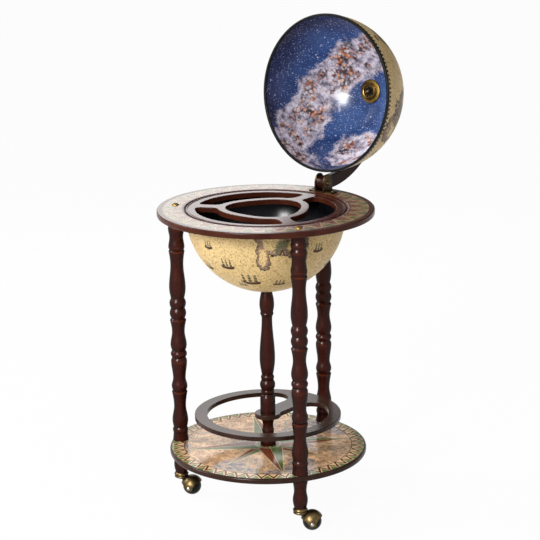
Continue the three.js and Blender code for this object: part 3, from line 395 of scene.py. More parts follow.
def slab(name, outline, bottom, top, edge, opening=False):
    """A plate with rounded edges, in mm, or the tool that cuts an opening with such edges."""
    side = 1 if opening else -1
    start = (edge, -2) if opening else (edge + 0.6, 0)
    rows = [(side * out, bottom + rise) for out, rise in [start, *arc(edge, edge, edge, 270, 180, 4)]]
    rows += [(out, top + bottom - height) for out, height in reversed(rows)]
    shape = bmesh.new()
    rings = [
        [shape.verts.new((x * MM, y * MM, z * MM)) for x, y in grown(outline, out)] for out, z in rows
    ]
    for low, high in zip(rings, rings[1:]):
        for i in range(len(low)):
            shape.faces.new((low[i - 1], low[i], high[i], high[i - 1]))
    shape.faces.new(rings[0])
    shape.faces.new(rings[-1])
    return finish_mesh(name, shape)


def flat_faces(piece):
    """Keeps the broad faces of a board flat up to its rounded edges."""
    flats = piece.modifiers.new("flat_faces_stay_flat", "WEIGHTED_NORMAL")
    flats.keep_sharp = True


def lobed(angle, width=0):
    """The radius of the centre opening, with its three lobes, or of a line width away."""
    middle, lobe_depth = 77.5, 6
    return middle + width + lobe_depth * math.cos(3 * (angle - math.pi / 2))


def eased(start, corner, stop):
    """A corner rounded from start to stop, without its two ends."""
    points = []
    for i in range(1, 8):
        t = i / 8
        shares = ((1 - t) ** 2, 2 * t * (1 - t), t * t)
        points.append(tuple(sum(s * p[k] for s, p in zip(shares, (start, corner, stop))) for k in (0, 1)))
    return points


def polar(radius, angle):
    """The point at a radius and an angle in radians."""
    return radius * math.cos(angle), radius * math.sin(angle)


def crescent():
    """One crescent, about +X, between two bridges."""
    outer, ribbon, bridge, ease, half = 145.5, 17, 13.5, 14, math.pi / 3
    inner = lobed(math.pi / 2, ribbon)
    outer_end, inner_end = half - math.asin(bridge / outer), half - math.asin(bridge / inner)
    outer_stop, inner_stop = outer_end - ease / outer, inner_end - ease / inner
    far, near = polar(outer, outer_end), polar(inner, inner_end)
    length = math.hypot(far[0] - near[0], far[1] - near[1])
    step = [(far[k] - near[k]) / length * ease for k in (0, 1)]
    far_join, near_join = (far[0] - step[0], far[1] - step[1]), (near[0] + step[0], near[1] + step[1])
    outside = [polar(outer, -outer_stop + 2 * outer_stop * i / 32) for i in range(33)]
    inside = []
    for i in range(29):
        angle = inner_stop - 2 * inner_stop * i / 28
        inside.append(polar(lobed(angle + math.pi / 6, ribbon), angle))
    upper = [*eased(outside[-1], far, far_join), far_join, near_join, *eased(near_join, near, inside[0])]
    lower = [(x, -y) for x, y in reversed(upper)]
    return [*outside, *upper, *inside, *lower]


tray_bottom, tray_top = heights("tray")
tray_side, tray_rim, bead_round, tray_ease = 156.6, 165.65, 2, 1.3
tray_seat = ledge_level + seat_gap
profile = [
    (0, tray_bottom), (tray_side, tray_bottom), (tray_side + 0.05, tray_seat), (tray_rim - 0.05, tray_seat),
    *arc(tray_rim - bead_round, tray_top - bead_round, bead_round, 0, 150, 9), (161.5, tray_top - 0.9),
    (160.4, tray_top - 0.5), (159.4, tray_top - 0.05), (158.6, tray_top), (0, tray_top),
]
tray = lathe("tray_board", profile, 180)
centre_outline = [polar(lobed(a), a) for a in [2 * math.pi * i / 96 for i in range(96)]]
carve(tray, slab("centre_opening", centre_outline, tray_bottom, tray_top, tray_ease, opening=True))
for axis in leg_axes.values():
    outward = axis - column_axis
    opening = slab("crescent_opening", crescent(), tray_bottom, tray_top, tray_ease, opening=True)
    opening.matrix_world = Matrix.Rotation(math.atan2(outward.y, outward.x) + math.pi / 3, 4, "Z")
    carve(tray, opening)
flat_faces(tray)
fit(tray, [fibreboard], "stand", "tray", on_column)

# ---- Lower bowl of the globe
# A half globe pressed from thin plastic. Outside it carries a map printed on parchment-coloured
# paper under gloss, with made-up coasts and little ships; inside it is sprayed gloss black.

bowl_radius, globe_wall, bowl_centre_drop = 165.3, 2.5, 9.5


def map_print(name, lands, ships, paper_stops, teeth=False):
    """The map paper, in a piece whose centre is the globe's. Lands and ships are placed by azimuth
    and elevation in degrees; a land has its half width and half height, a ship its height."""
    made, add, where = new_material(name)
    around = add("VectorMath NORMALIZE", [where])
    part = add("SeparateXYZ", [around])
    azimuth = add("ARCTAN2", [part.outputs["Y"], part.outputs["X"]])
    elevation = add("ARCSINE", [part.outputs["Z"]])
    chart = add("VectorMath MULTIPLY", [add("CombineXYZ", [azimuth, elevation]), (180 / math.pi,) * 3])
    # Coasts are ragged at about 12 mm and 3 mm
    rough = add("TexNoise", Vector=where, Scale=75, Detail=7, Roughness=0.62)
    specks = add("TexNoise", Vector=where, Scale=240, Detail=4, Roughness=0.8)
    smudge = add("TexNoise", Vector=where, Scale=14, Detail=4)
    shore = None
    for place, half in lands:
        aside = add("VectorMath SUBTRACT", [chart, (*place, 0)])
        aside = add("VectorMath DIVIDE", [aside, (*half, 1)])
        reach = add("VectorMath LENGTH", [aside])
        shore = reach if shore is None else add("SMOOTH_MIN", [shore, reach, 0.35])
    shore = add("MULTIPLY_ADD", [rough, 1.5, shore])
    # The shore value falls below this on land
    coast_at = 1.75
    paper = add("ValToRGB", [specks], stops=paper_stops)
    aged = add("MapRange", [smudge, 0.42, 0.72, 0, 0.35])
    paper = add("MixRGB", [aged, paper, "#b08a52"])
    is_land = add("LESS_THAN", [shore, coast_at])
    # Green lowland in patches, then a shaded mauve band along every coast
    woods = add("MapRange", [smudge, 0.5, 0.53, 0, 0.9])
    woods = add("MULTIPLY", [woods, is_land])
    green = add("ValToRGB", [specks], stops=[(0.35, "#3f4a38"), (0.6, "#7c8763")])
    colour = add("MixRGB", [woods, paper, green])
    shade = add("MapRange", [shore, 1.36, 1.4, 0, 0.92])
    shade = add("MULTIPLY", [shade, is_land])
    mauve = add("ValToRGB", [specks], stops=[(0.35, "#5d463c"), (0.6, "#a98873")])
    colour = add("MixRGB", [shade, colour, mauve])
    aside = add("ABSOLUTE", [add("SUBTRACT", [shore, coast_at])])
    coast = add("MapRange", [aside, 0.03, 0.08, 1, 0])
    colour = add("MixRGB", [coast, colour, "#2b2019"])
    # Names and hills are only hatched, since no word is written on the map
    hatch = add("TexVoronoi", Vector=where, Scale=260, feature="DISTANCE_TO_EDGE")
    hatch = add("LESS_THAN", [hatch, 0.09])
    hills = add("MULTIPLY", [add("GREATER_THAN", [smudge, 0.5]), is_land])
    hatch = add("MULTIPLY", [hatch, add("MULTIPLY", [hills, 0.5])])
    colour = add("MixRGB", [hatch, colour, "#4a3a28"])
    # Each ship is a curved hull with three masts of square sails
    nearest, spot = None, None
    for place, tall in ships:
        aside = add("VectorMath SUBTRACT", [chart, (*place, 0)])
        squeeze = math.cos(math.radians(place[1]))
        aside = add("VectorMath MULTIPLY", [aside, (squeeze / tall, 1 / tall, 0)])
        reach = add("VectorMath LENGTH", [aside])
        if nearest is None:
            nearest, spot = reach, aside
        else:
            closer = add("LESS_THAN", [reach, nearest])
            spot = add("MixRGB", [closer, spot, aside])
            nearest = add("MINIMUM", [nearest, reach])
    if ships:
        part = add("SeparateXYZ", [spot])
        x, y = part.outputs["X"], part.outputs["Y"]
        wide = add("ABSOLUTE", [x])
        deck = add("MULTIPLY_ADD", [add("MULTIPLY", [x, x]), -0.45, y])
        hull = add("COMPARE", [deck, -0.36, 0.12])
        hull = add("MULTIPLY", [hull, add("LESS_THAN", [wide, 0.5])])
        bay = add("PINGPONG", [add("ADD", [x, 0.14]), 0.14])
        belly = add("MULTIPLY_ADD", [y, -0.09, bay])
        sail = add("GREATER_THAN", [belly, 0.065])
        tier = add("GREATER_THAN", [add("PINGPONG", [y, 0.11]), 0.02])
        rig = add("COMPARE", [y, 0.08, 0.3])
        rig = add("MULTIPLY", [rig, add("LESS_THAN", [wide, 0.4])])
        sail = add("MULTIPLY", [add("MULTIPLY", [sail, tier]), rig])
        colour = add("MixRGB", [add("MULTIPLY", [sail, 0.9]), colour, "#2c3626"])
        colour = add("MixRGB", [hull, colour, "#4a2c18"])
    if teeth:
        # A scale of dark squares, 9 mm apart, runs round above the rim
        cog_turn = math.pi / 116
        cog = add("LESS_THAN", [add("PINGPONG", [azimuth, cog_turn]), cog_turn / 2])
        row = add("COMPARE", [elevation, math.radians(2.3), math.radians(0.8)])
        line = add("LESS_THAN", [elevation, math.radians(1.3)])
        cog = add("MAXIMUM", [add("MULTIPLY", [cog, row]), line])
        colour = add("MixRGB", [cog, colour, "#171512"])
    add("OutputMaterial", [add("BsdfPrincipled", Base_Color=colour, Roughness=0.45, Specular_IOR_Level=0.2)])
    return made


bowl_lands = [
    ((-44, -8), (13, 12)), ((-52, -20), (5, 13)), ((-30, -12), (11, 8)), ((60, -10), (25, 16)),
    ((95, -24), (16, 10)), ((150, -12), (16, 12)), ((-140, -6), (14, 9)),
]
bowl_ships = [
    ((-83, -28), 11), ((-66, -43), 15), ((-97, -14), 8), ((-77, -50), 7), ((-24, -28), 8), ((-36, -47), 9),
    ((-8, -16), 9), ((-110, -34), 10), ((20, -34), 10), ((130, -40), 12), ((-160, -36), 10), ((70, -48), 9),
]
bowl_paper = [(0.36, "#86663c"), (0.45, "#d6b274"), (0.53, "#f8dea4"), (0.62, "#d6b073")]
bowl_map = map_print("parchment_map_paper_bowl", bowl_lands, bowl_ships, bowl_paper)
black_gloss, add, where = new_material("gloss_black_sprayed_plastic")
# Nearly black, with an orange peel 3 mm across in the spray
peel = add("TexNoise", Vector=where, Scale=300, Detail=2)
colour = add("ValToRGB", [peel], stops=[(0.3, "#0b0c10"), (0.7, "#15161b")])
skin = add("Bump", Height=peel, Strength=0.1, Distance=0.0002)
add("OutputMaterial", [add(
    "BsdfPrincipled", Base_Color=colour, Roughness=0.2, Normal=skin, Specular_IOR_Level=0.15,
)])

bowl_inner = bowl_radius - globe_wall
profile = [
    *arc(0, 0, bowl_radius, -90, 0, 48), (bowl_radius, 0.5), (bowl_inner, 0.5),
    *arc(0, 0, bowl_inner, 0, -90, 48),
]


def line_inside(half_globe):
    """Gives the faces inside a half globe, all but its lip, the second of its materials."""
    for face in half_globe.data.polygons:
        face.material_index = 1 if face.center.length / MM < bowl_inner + 1.2 else 0


bowl = lathe("globe_bowl_lower", profile, 160)
line_inside(bowl)
in_bowl = on_column @ shift(0, 0, table_top - bowl_centre_drop)
fit(bowl, [bowl_map, black_gloss], "stand", "lower_globe_bowl", in_bowl)

# ---- Bottle holder
# One board cut to a flat ring for bottle necks, with a tongue that ends in a round eye. The two
# lengths of the column are screwed together through the eye.

holder_bottom, holder_top = heights("bottle_holder")
tongue, fillet, lobe, inside, outside, holder_ease = 21, 32, 27.5, 129, 155, 0.9
fillet_x = tongue + fillet
fillet_y = math.sqrt((inside - fillet) ** 2 - fillet_x**2)
meet = math.degrees(math.atan2(fillet_y, fillet_x))
lobe_meet = math.degrees(math.acos(tongue / lobe))
opening_outline = [
    *arc(fillet_x, fillet_y, fillet, 180, meet, 12), *arc(0, 0, inside, meet, -180 - meet, 96)[1:],
    *arc(-fillet_x, fillet_y, fillet, 180 - meet, 0, 12)[1:],
    *arc(0, 0, lobe, 180 - lobe_meet, 360 + lobe_meet, 32),
]
opening_outline.reverse()
holder = slab("holder_board", arc(0, 0, outside, 0, 360 - 2, 179), holder_bottom, holder_top, holder_ease)
carve(holder, slab("holder_opening", opening_outline, holder_bottom, holder_top, holder_ease, opening=True))
flat_faces(holder)
umber_board = cloudy("fibreboard_umber_stain_satin_lacquer", [(0.3, "#2e1c15"), (0.7, "#402a21")], **lacquer)
fit(holder, [umber_board], "stand", "bottle_holder", on_column)

# ---- Bottom shelf
# A disc of the same board with a rounded edge. A paper map with a compass rose and a sawtooth
# border is glued on top and varnished, so it mirrors the legs a little.

shelf_bottom, shelf_top = heights("bottom_shelf")
shelf_print, add, where = new_material("varnished_paper_compass_map")
flat, radius, angle = on_board(add, where)
# The ground is tan paper with ragged coasts, shaded on their landward side
rough = add("TexNoise", Vector=where, Scale=34, Detail=9, Roughness=0.7)
large = add("TexNoise", Vector=where, Scale=7, Detail=3)
specks = add("TexNoise", Vector=where, Scale=240, Detail=4, Roughness=0.7)
paper = add("ValToRGB", [rough], stops=[
    (0.35, "#b89677"), (0.39, "#5e4d43"), (0.41, "#e2b386"), (0.45, "#d6a87c"), (0.466, "#3f342e"),
    (0.482, "#ecba8a"), (0.55, "#fad2a6"), (0.585, "#b88e6a"), (0.6, "#6a5142"), (0.615, "#efc296"),
])
paper = add("MixRGB", [add("MapRange", [specks, 0.4, 0.7, 0, 0.3]), paper, "#7d5f49"])
sea = add("MapRange", [large, 0.51, 0.57, 0, 0.85])
shoals = add("TexNoise", Vector=where, Scale=75, Detail=8, Roughness=0.75, Distortion=0.6)
blue = add("ValToRGB", [shoals], stops=[
    (0.38, "#232a42"), (0.45, "#565c72"), (0.52, "#9a8c84"), (0.59, "#cfa982"), (0.66, "#6e6260"),
])
colour = add("MixRGB", [sea, paper, blue])
# Double arcs in yellow and blue, each 1.8 mm wide, sweep between the points of the rose
for centre, reach in (((-60, -190), 128), ((190, -60), 128), ((60, 190), 128), ((-190, 60), 128)):
    aside = add("VectorMath SUBTRACT", [flat, (*centre, 0)])
    away = add("VectorMath LENGTH", [aside])
    for further, ink in ((0, "#c9b26a"), (2.5, "#8fa0a8")):
        colour = add("MixRGB", [add("COMPARE", [away, reach + further, 0.9]), colour, ink])
# Four short points of the rose, then four long ones over them, green on one side, rust on the other
for turn, tip, valley in ((math.radians(5), 150, 24), (math.radians(-40), 185, 37)):
    quarter = add("WRAP", [add("SUBTRACT", [angle, turn]), math.pi / 4, -math.pi / 4])
    along = add("MULTIPLY", [radius, add("COSINE", [quarter])])
    aside = add("MULTIPLY", [radius, add("SINE", [quarter])])
    wide = add("ABSOLUTE", [aside])
    foot_at = valley / math.sqrt(2)
    slope = math.hypot(foot_at, tip - foot_at)
    inside_by = add("MULTIPLY_ADD", [along, -foot_at / slope, tip * foot_at / slope])
    inside_by = add("MULTIPLY_ADD", [wide, -(tip - foot_at) / slope, inside_by])
    face_of = add("GREATER_THAN", [inside_by, 0.9])
    whole = add("GREATER_THAN", [inside_by, -0.4])
    green_side = add("GREATER_THAN", [aside, 0])
    green = add("ValToRGB", [specks], stops=[(0.35, "#42522a"), (0.6, "#6c7b43")])
    rust = add("ValToRGB", [specks], stops=[(0.35, "#64301e"), (0.6, "#8f5037")])
    point_colour = add("MixRGB", [green_side, rust, green])
    off_ridge = add("GREATER_THAN", [add("SUBTRACT", [wide, 0.5]), 0])
    face_of = add("MULTIPLY", [face_of, off_ridge])
    point_colour = add("MixRGB", [face_of, "#dcc9a0", point_colour])
    colour = add("MixRGB", [whole, colour, point_colour])
# Rings round the column, the thin circle, and the border of teeth between R 180 and R 204
for reach, half, ink in ((26, 2.2, "#c9c79e"), (26, 1.0, "#6c7c43"), (178, 0.8, "#2f241c")):
    colour = add("MixRGB", [add("COMPARE", [radius, reach, half]), colour, ink])
across = add("MapRange", [radius, 181, 203])
tooth_turn = math.radians(3.6)
wave = add("DIVIDE", [add("PINGPONG", [angle, tooth_turn]), tooth_turn])
tooth = add("SUBTRACT", [wave, across])
border = add("MixRGB", [add("GREATER_THAN", [tooth, 0]), "#76804a", "#dcb988"])
for reach, half, ink in ((0.12, 0.24, "#6e2f20"), (0.44, 0.1, "#ecd3a2"), (-0.2, 0.1, "#ecd3a2")):
    border = add("MixRGB", [add("COMPARE", [tooth, reach, half]), border, ink])
colour = add("MixRGB", [add("GREATER_THAN", [radius, 180]), colour, border])
add("OutputMaterial", [add("BsdfPrincipled", Base_Color=colour, Roughness=0.12, Specular_IOR_Level=0.08)])

shelf_rim, shelf_round, print_radius = 204.8, 4, 204
profile = [
    (0, shelf_bottom), *arc(shelf_rim, shelf_bottom + shelf_round, shelf_round, -90, 0, 7),
    *arc(shelf_rim, shelf_top - shelf_round, shelf_round, 0, 90, 7),
    (print_radius, shelf_top), (0, shelf_top),
]
shelf = lathe("bottom_shelf_board", profile, 180)
print_top(shelf, shelf_top, 0, print_radius)
fit(shelf, [umber_board, shelf_print], "stand", "bottom_shelf", on_column)

# ---- Brass screws
# Round-headed screws of brass-plated steel, browned with an antique finish: three through the ring
# into the legs, of which the two in front stand proud, and one in the floor of the bowl.

# The antique brown lies in clouds 5 mm across, duller where it is darker. The brass is painted
# darker towards its edges as seen, a painted shade
plating = {
    "clouds": {"Scale": 190, "Detail": 5, "Roughness": 0.6}, "nap": (1500, 0.06),
    "edge_colour": "#171108", "Metallic": 1,
}
antique_stops = [(0.3, "#483b24"), (0.5, "#5e4e33"), (0.7, "#766443")]
golden_stops = [(0.3, "#5e4720"), (0.5, "#7d612f"), (0.7, "#987a41")]
antique_brass = cloudy("antique_brass_plated_lacquered", antique_stops, dull=0.42, bright=0.33, **plating)
golden_brass = cloudy("golden_brass_plated_lacquered", golden_stops, dull=0.38, bright=0.28, **plating)


def domed_screw(name, head, rise, shank, length):
    """A round-headed screw, head up, seated at z = 0, in mm."""
    dome = arc(0, rise * 0.25, head, 0, 90, 8, 0.75 * rise / head)
    return lathe(name, [(0, -length), (shank, -length), (shank, 0), (head, 0), *dome], 40)


screw_shank, screw_length, screw_proud = 3, 36, 4.2
for name, axis in leg_axes.items():
    dome = screw_rise + (0 if name == "rear" else screw_proud)
    screw = domed_screw(f"ring_screw_cap_{name}", screw_head, dome, screw_shank, screw_length)
    place = Matrix.Translation(axis) @ shift(0, 0, heights(f"ring_screw_{name}")[1] - screw_rise)
    fit(screw, [golden_brass], "stand", f"ring_screw_{name}", place)
bowl_screw_rise = 3.2
screw = domed_screw("bowl_floor_screw", head=8, rise=bowl_screw_rise, shank=screw_shank, length=38)
place = on_column @ shift(0, 0, heights("bowl_screw")[1] - bowl_screw_rise)
fit(screw, [antique_brass], "stand", "bowl_screw", place)

# ---- Hinge bracket and pin
# A bracket of pressed steel with an antique bronze plating: a foot plate, two upright cheeks with
# rounded tops and a stop between them, held by two brass screws. A brass pin with a cap nut goes
# through cheeks and arm.

# Dark brown patina in clouds 8 mm across, rubbed to bronze in between
bronze = cloudy(
    "antique_bronze_plated_steel", [(0.3, "#221a11"), (0.5, "#382b1b"), (0.7, "#59492b")],
    {"Scale": 130, "Detail": 6, "Roughness": 0.65}, 0.42, 0.28, Metallic=1,
)

hinge = next(Vector(joint["pos_m"]) for joint in frame["joints"] if joint["name"] == "lid_hinge")
at_hinge = Matrix.Translation(hinge)
# Levels are from the pin. The axis of the closed lid is arm_reach in front of it, and the lid's
# centre lid_rise above the table
hinge_height, lid_rise, arm_reach = 19, 4.7, 191.5
arm_half_depth, arm_half_width, arm_ease, knuckle_radius = 13.5, 8.25, 1.6, 15
foot_level, plate_thickness = seat_gap - hinge_height, 2.5
plate_outline = []
for x, y, start in ((25, 5, 0), (-25, 5, 90), (-25, -5, 180), (25, -5, 270)):
    plate_outline += arc(x, y, 8, start, start + 90, 8)
bracket = slab("hinge_bracket_pressed", plate_outline, foot_level, foot_level + plate_thickness, edge=0.7)
cheek_half, cheek_rise, cheek_near, cheek_far = 15.2, 20, arm_half_width + 0.6, arm_half_width + 4.6
cheek_outline = [
    (-cheek_half, foot_level + 1), (cheek_half, foot_level + 1),
    *arc(0, 0, cheek_half, 0, 180, 28, cheek_rise / cheek_half),
]
upright = Matrix(((0, 0, 1, 0), (1, 0, 0, 0), (0, 1, 0, 0), (0, 0, 0, 1)))
for near, far in ((-cheek_far, -cheek_near), (cheek_near, cheek_far)):
    cheek = slab("cheek", cheek_outline, near, far, edge=0.8)
    cheek.matrix_world = upright
    carve(bracket, cheek, "UNION")
# The back of the open arm rests on the stop
open_angle, lid_low = math.radians(96.4), lid_rise - hinge_height
pivot_radius = math.hypot(arm_reach, lid_low)
open_z = arm_reach * math.sin(open_angle) + lid_low * math.cos(open_angle)
pad_top = open_z - (pivot_radius + arm_half_depth) - seat_gap
pad_outline = [(-9.5, 8.6), (9.5, 8.6), (9.5, 14.6), (-9.5, 14.6)]
carve(bracket, slab("stop", pad_outline, foot_level + 1, pad_top, edge=0.5), "UNION")
fit(bracket, [bronze], "stand", "hinge_bracket", at_hinge)

for aside, name in ((-25, "left"), (25, "right")):
    screw = domed_screw(f"bracket_screw_cap_{name}", head=4.4, rise=2.4, shank=1.8, length=10.5)
    place = at_hinge @ shift(aside, 0, foot_level + plate_thickness + seat_gap)
    fit(screw, [antique_brass], "stand", f"bracket_screw_{name}", place)
pin_seat = cheek_far + seat_gap
pin = domed_screw("hinge_pin_domed", head=5.2, rise=3.2, shank=3, length=28.8)
place = at_hinge @ shift(pin_seat, 0, 0) @ Matrix.Rotation(math.pi / 2, 4, "Y")
fit(pin, [antique_brass], "stand", "hinge_pin", place)


def cap_nut(name, radius, height):
    """A domed cap nut on z = 0, with a collar below its dome."""
    dome = arc(0, height * 0.4, radius, 0, 90, 9, 0.6 * height / radius)
    collar = [(0, 0), (radius, 0), (radius, height * 0.25), (radius * 0.93, height * 0.3)]
    return lathe(name, collar + dome, 40)


nut = cap_nut("hinge_pin_cap_nut", radius=5.4, height=7.5)
place = at_hinge @ shift(-pin_seat, 0, 0) @ Matrix.Rotation(-math.pi / 2, 4, "Y")
fit(nut, [antique_brass], "stand", "hinge_pin_nut", place)

# ---- Meridian arm
# A quarter ring of the stained beech, sawn to the curve of the globe with round ends and eased
# edges. Its lower end turns on the hinge pin, and the lid is bolted to its upper end.

in_lid = at_hinge @ Matrix.Rotation(-open_angle, 4, "X") @ shift(0, -arm_reach, lid_low)
pivot_angle, arm_overhang = math.degrees(math.atan2(-lid_low, arm_reach)), 12
end_angle = 90 + math.degrees(arm_overhang / pivot_radius)
arm_inner, arm_outer = pivot_radius - arm_half_depth, pivot_radius + arm_half_depth
end_x, end_y = polar(pivot_radius, math.radians(end_angle))
pivot_x, pivot_y = polar(pivot_radius, math.radians(pivot_angle))
arm_outline = [
    *arc(0, 0, arm_outer, pivot_angle, end_angle, 48),
    *arc(end_x, end_y, arm_half_depth, end_angle, end_angle + 180, 16)[1:],
    *arc(0, 0, arm_inner, end_angle, pivot_angle, 48)[1:],
    *arc(pivot_x, pivot_y, arm_half_depth, pivot_angle + 180, pivot_angle + 360, 16)[1:-1],
]
knuckle_outline = arc(pivot_x, pivot_y, knuckle_radius, 0, 360 - 7.5, 47)
arm = slab("meridian_arm_sawn", arm_outline, -arm_half_width, arm_half_width, arm_ease)
knuckle = slab("knuckle", knuckle_outline, -arm_half_width, arm_half_width, arm_ease)
carve(arm, knuckle, "UNION")
fit(arm, [beech], "lid_arm", "meridian_arm", in_lid @ upright)

# ---- Lid
# The upper half of the globe, pressed like the bowl. Outside it carries the map and a scale of
# squares, inside a glossy print of a night sky with bright clouds; a black moulding trims its rim.

lid_lands = [
    ((-54, 22), (10, 8)), ((4, 32), (13, 17)), ((22, 14), (12, 10)), ((75, 26), (26, 18)),
    ((110, 44), (20, 10)), ((160, 20), (15, 12)), ((-80, 34), (22, 16)), ((-130, 16), (18, 10)),
]
lid_ships = [((46, 14), 7), ((40, 52), 8), ((134, 24), 8), ((-50, 10), 6), ((-105, 40), 8), ((-160, 30), 9)]
# The lid's paper is a little lighter than the bowl's, painted light for the shaded outside of the lid
lid_paper_painted_lighter = [(0.36, "#86724c"), (0.45, "#e0be84"), (0.53, "#fae0ac"), (0.62, "#d4b47e")]
lid_map = map_print("parchment_map_paper_lid_painted_lighter", lid_lands, lid_ships, lid_paper_painted_lighter, teeth=True)
night, add, where = new_material("night_sky_print_under_gloss")
# The sky runs from slate at the rim to blue at the pole. Stars fade out 1.4 and 2.3 mm away
haze = add("TexNoise", Vector=where, Scale=16, Detail=4, Roughness=0.5)
slate = add("ValToRGB", [haze], stops=[(0.35, "#292c4a"), (0.65, "#444970")])
blue = add("ValToRGB", [haze], stops=[(0.35, "#253b6f"), (0.65, "#4565a0")])
level = add("SeparateXYZ", [where])
level = add("MapRange", [level.outputs["Z"], 0.02, 0.11])
colour = add("MixRGB", [level, slate, blue])
for density, size, strength in ((260.0, 0.36, 1.9), (75.0, 0.17, 2.8)):
    star = add("TexVoronoi", Vector=where, Scale=density)
    bright = add("SeparateColor", [star.outputs["Color"]])
    bright = add("POWER", [bright.outputs[0], 2])
    glow = add("MapRange", [star.outputs["Distance"], 0, size, strength, 0])
    glow = add("MULTIPLY", [glow, bright], use_clamp=True)
    colour = add("MixRGB", [glow, colour, "#c3cff0"])
# A belt of cloud crosses the lid above the pole and a bank lies below it, in finer and finer billows
billow = add("TexNoise", Vector=where, Scale=24, Detail=12, Roughness=0.72, Distortion=0.5)
belt = add("VectorMath DOT_PRODUCT", [where, Vector((0.39, 0.58, 0.71)).normalized()])
belt = add("ABSOLUTE", [add("ADD", [belt, -0.048])])
belt = add("MapRange", [belt, 0.022, 0.075, 0.22, -0.3])
bank = add("VectorMath DISTANCE", [where, (0.012, 0.128, 0.1)])
bank = add("MapRange", [bank, 0.03, 0.085, 0.22, -0.3])
cover = add("ADD", [billow, add("MAXIMUM", [belt, bank])])
grey = add("TexNoise", Vector=where, Scale=48, Detail=10, Roughness=0.74, Distortion=0.2)
cloud = add("ValToRGB", [grey], stops=[
    (0.36, "#4c4650"), (0.43, "#8b8291"), (0.5, "#c6bdcb"), (0.56, "#e6deea"), (0.66, "#f3edf3"),
])
# Inside the clouds lie crumbs some 6 mm across, dark, rust, orange or pale, darker at their edges
bend = add("TexNoise", Vector=where, Scale=90, Detail=4)
bend = add("VectorMath MULTIPLY", [bend.outputs["Color"], (0.012, 0.012, 0.012)])
crumbs = add("TexVoronoi", Vector=add("VectorMath ADD", [where, bend]), Scale=150)
kind = add("SeparateColor", [crumbs.outputs["Color"]])
embers = add("ValToRGB", [kind], stops=[
    (0.0, "#3a3440"), (0.15, "#6e3322"), (0.32, "#cf7642"), (0.48, "#e8b394"), (0.64, "#f3e8ec"),
    (0.9, "#9a90a0"),
])
hollows = add("MapRange", [crumbs.outputs["Distance"], 0.4, 0.75, 0, 0.8])
embers = add("MixRGB", [hollows, embers, "#2a1f26"])
pockets = add("TexNoise", Vector=where, Scale=26, Detail=6, Roughness=0.65)
lit = add("MapRange", [pockets, 0.47, 0.52, 0, 0.95])
lit = add("MULTIPLY", [lit, add("MapRange", [cover, 0.55, 0.66])])
cloud = add("MixRGB", [lit, cloud, embers])
veil = add("MapRange", [cover, 0.44, 0.54])
colour = add("MixRGB", [veil, colour, cloud])
add("OutputMaterial", [add("BsdfPrincipled", Base_Color=colour, Roughness=0.22, Specular_IOR_Level=0.22)])

lid_radius = 165.2
lid_inner = lid_radius - globe_wall
profile = [*arc(0, 0, lid_radius, 0, 90, 48), *arc(0, 0, lid_inner, 90, 0, 48)]
shell = lathe("globe_lid_shell", profile, 160, ring=True)
line_inside(shell)
fit(shell, [lid_map, night], "lid_globe", "lid_shell", in_lid)

# Nearly black, with faint scuffs about 11 mm across
moulding = cloudy(
    "black_abs_moulding_semi_gloss", [(0.35, "#0d0d0e"), (0.7, "#1a1a1b")],
    {"Scale": 90, "Detail": 5}, 0.26, 0.42, IOR=1.54, Specular_IOR_Level=0.1,
)
# The moulding runs under the edge of the shell and a little way up its outside
hook_inner, hook_outer, hook_side = 161.5, 167, lid_radius + seat_gap
profile = [
    *arc(hook_inner + 1.2, -3, 1.2, 180, 270, 5), *arc(hook_outer - 1.4, -2.8, 1.4, 270, 360, 5),
    (hook_outer, 1.4), (hook_outer - 0.4, 2), (hook_side, 2), (hook_side, -seat_gap), (hook_inner, -seat_gap),
]
rim = lathe("lid_rim_moulding", profile, 160, ring=True)
fit(rim, [moulding], "lid_globe", "lid_rim", in_lid)

# ---- Bolt at the pole of the lid
# A brass bolt and spacer outside, and inside a dished brass washer, a black toothed washer and a
# small cap nut, all on the axis that the globe spins on.

cup_radius, cup_depth, cup_floor, star_tip, star_root, star_thickness = 26, 9, 0.55, 11.6, 9, 1.5
cup_seat = math.sqrt(lid_inner**2 - cup_radius**2) - seat_gap
star_seat = cup_seat - cup_depth * cup_floor - seat_gap
dish = [
    (1, 0), (1, 0.1), (0.97, 0.3), (0.9, 0.36), (0.74, 0.42), (0.69, 0.6), (0.64, 0.84), (0.56, 1),
    (0.51, 0.95), (0.48, 0.75), (0.46, cup_floor), (0, cup_floor),
]
profile = [(0, cup_seat), *[(cup_radius * r, cup_seat - cup_depth * d) for r, d in dish]]
cup = lathe("pole_cup_dished", profile, 72)
fit(cup, [golden_brass], "lid_globe", "pole_cup_washer", in_lid)
star_outline = [polar(star_root if i % 2 else star_tip, math.pi * i / 10) for i in range(20)]
star = slab("pole_toothed_washer", star_outline, star_seat - star_thickness, star_seat, edge=0.3)
fit(star, [moulding], "lid_globe", "pole_star_washer", in_lid)
nut_seat, bolt_seat = star_seat - star_thickness - seat_gap, arm_outer + seat_gap
place = in_lid @ shift(0, 0, nut_seat) @ Matrix.Rotation(math.pi, 4, "X")
nut = cap_nut("pole_nut_domed", radius=5.2, height=9)
fit(nut, [antique_brass], "lid_arm", "pole_cap_nut", place)
bolt_in_nut = 3
bolt_length = bolt_seat - star_seat + star_thickness + bolt_in_nut
bolt = domed_screw("pole_bolt_domed", head=9, rise=4, shank=3, length=bolt_length)
fit(bolt, [antique_brass], "lid_arm", "pole_bolt", in_lid @ shift(0, 0, bolt_seat))
bush_radius = 11
bush = lathe("pole_spacer_turned", rod(bush_radius, lid_radius + seat_gap, arm_inner - seat_gap), 48)
fit(bush, [antique_brass], "lid_arm", "pole_spacer", in_lid)

# ---- Casters
# Ball casters: a turned brass socket in the foot, a pressed brass hood on a leaning neck that
# swivels in it, and a black nylon ball on a steel axle riveted through the hood.

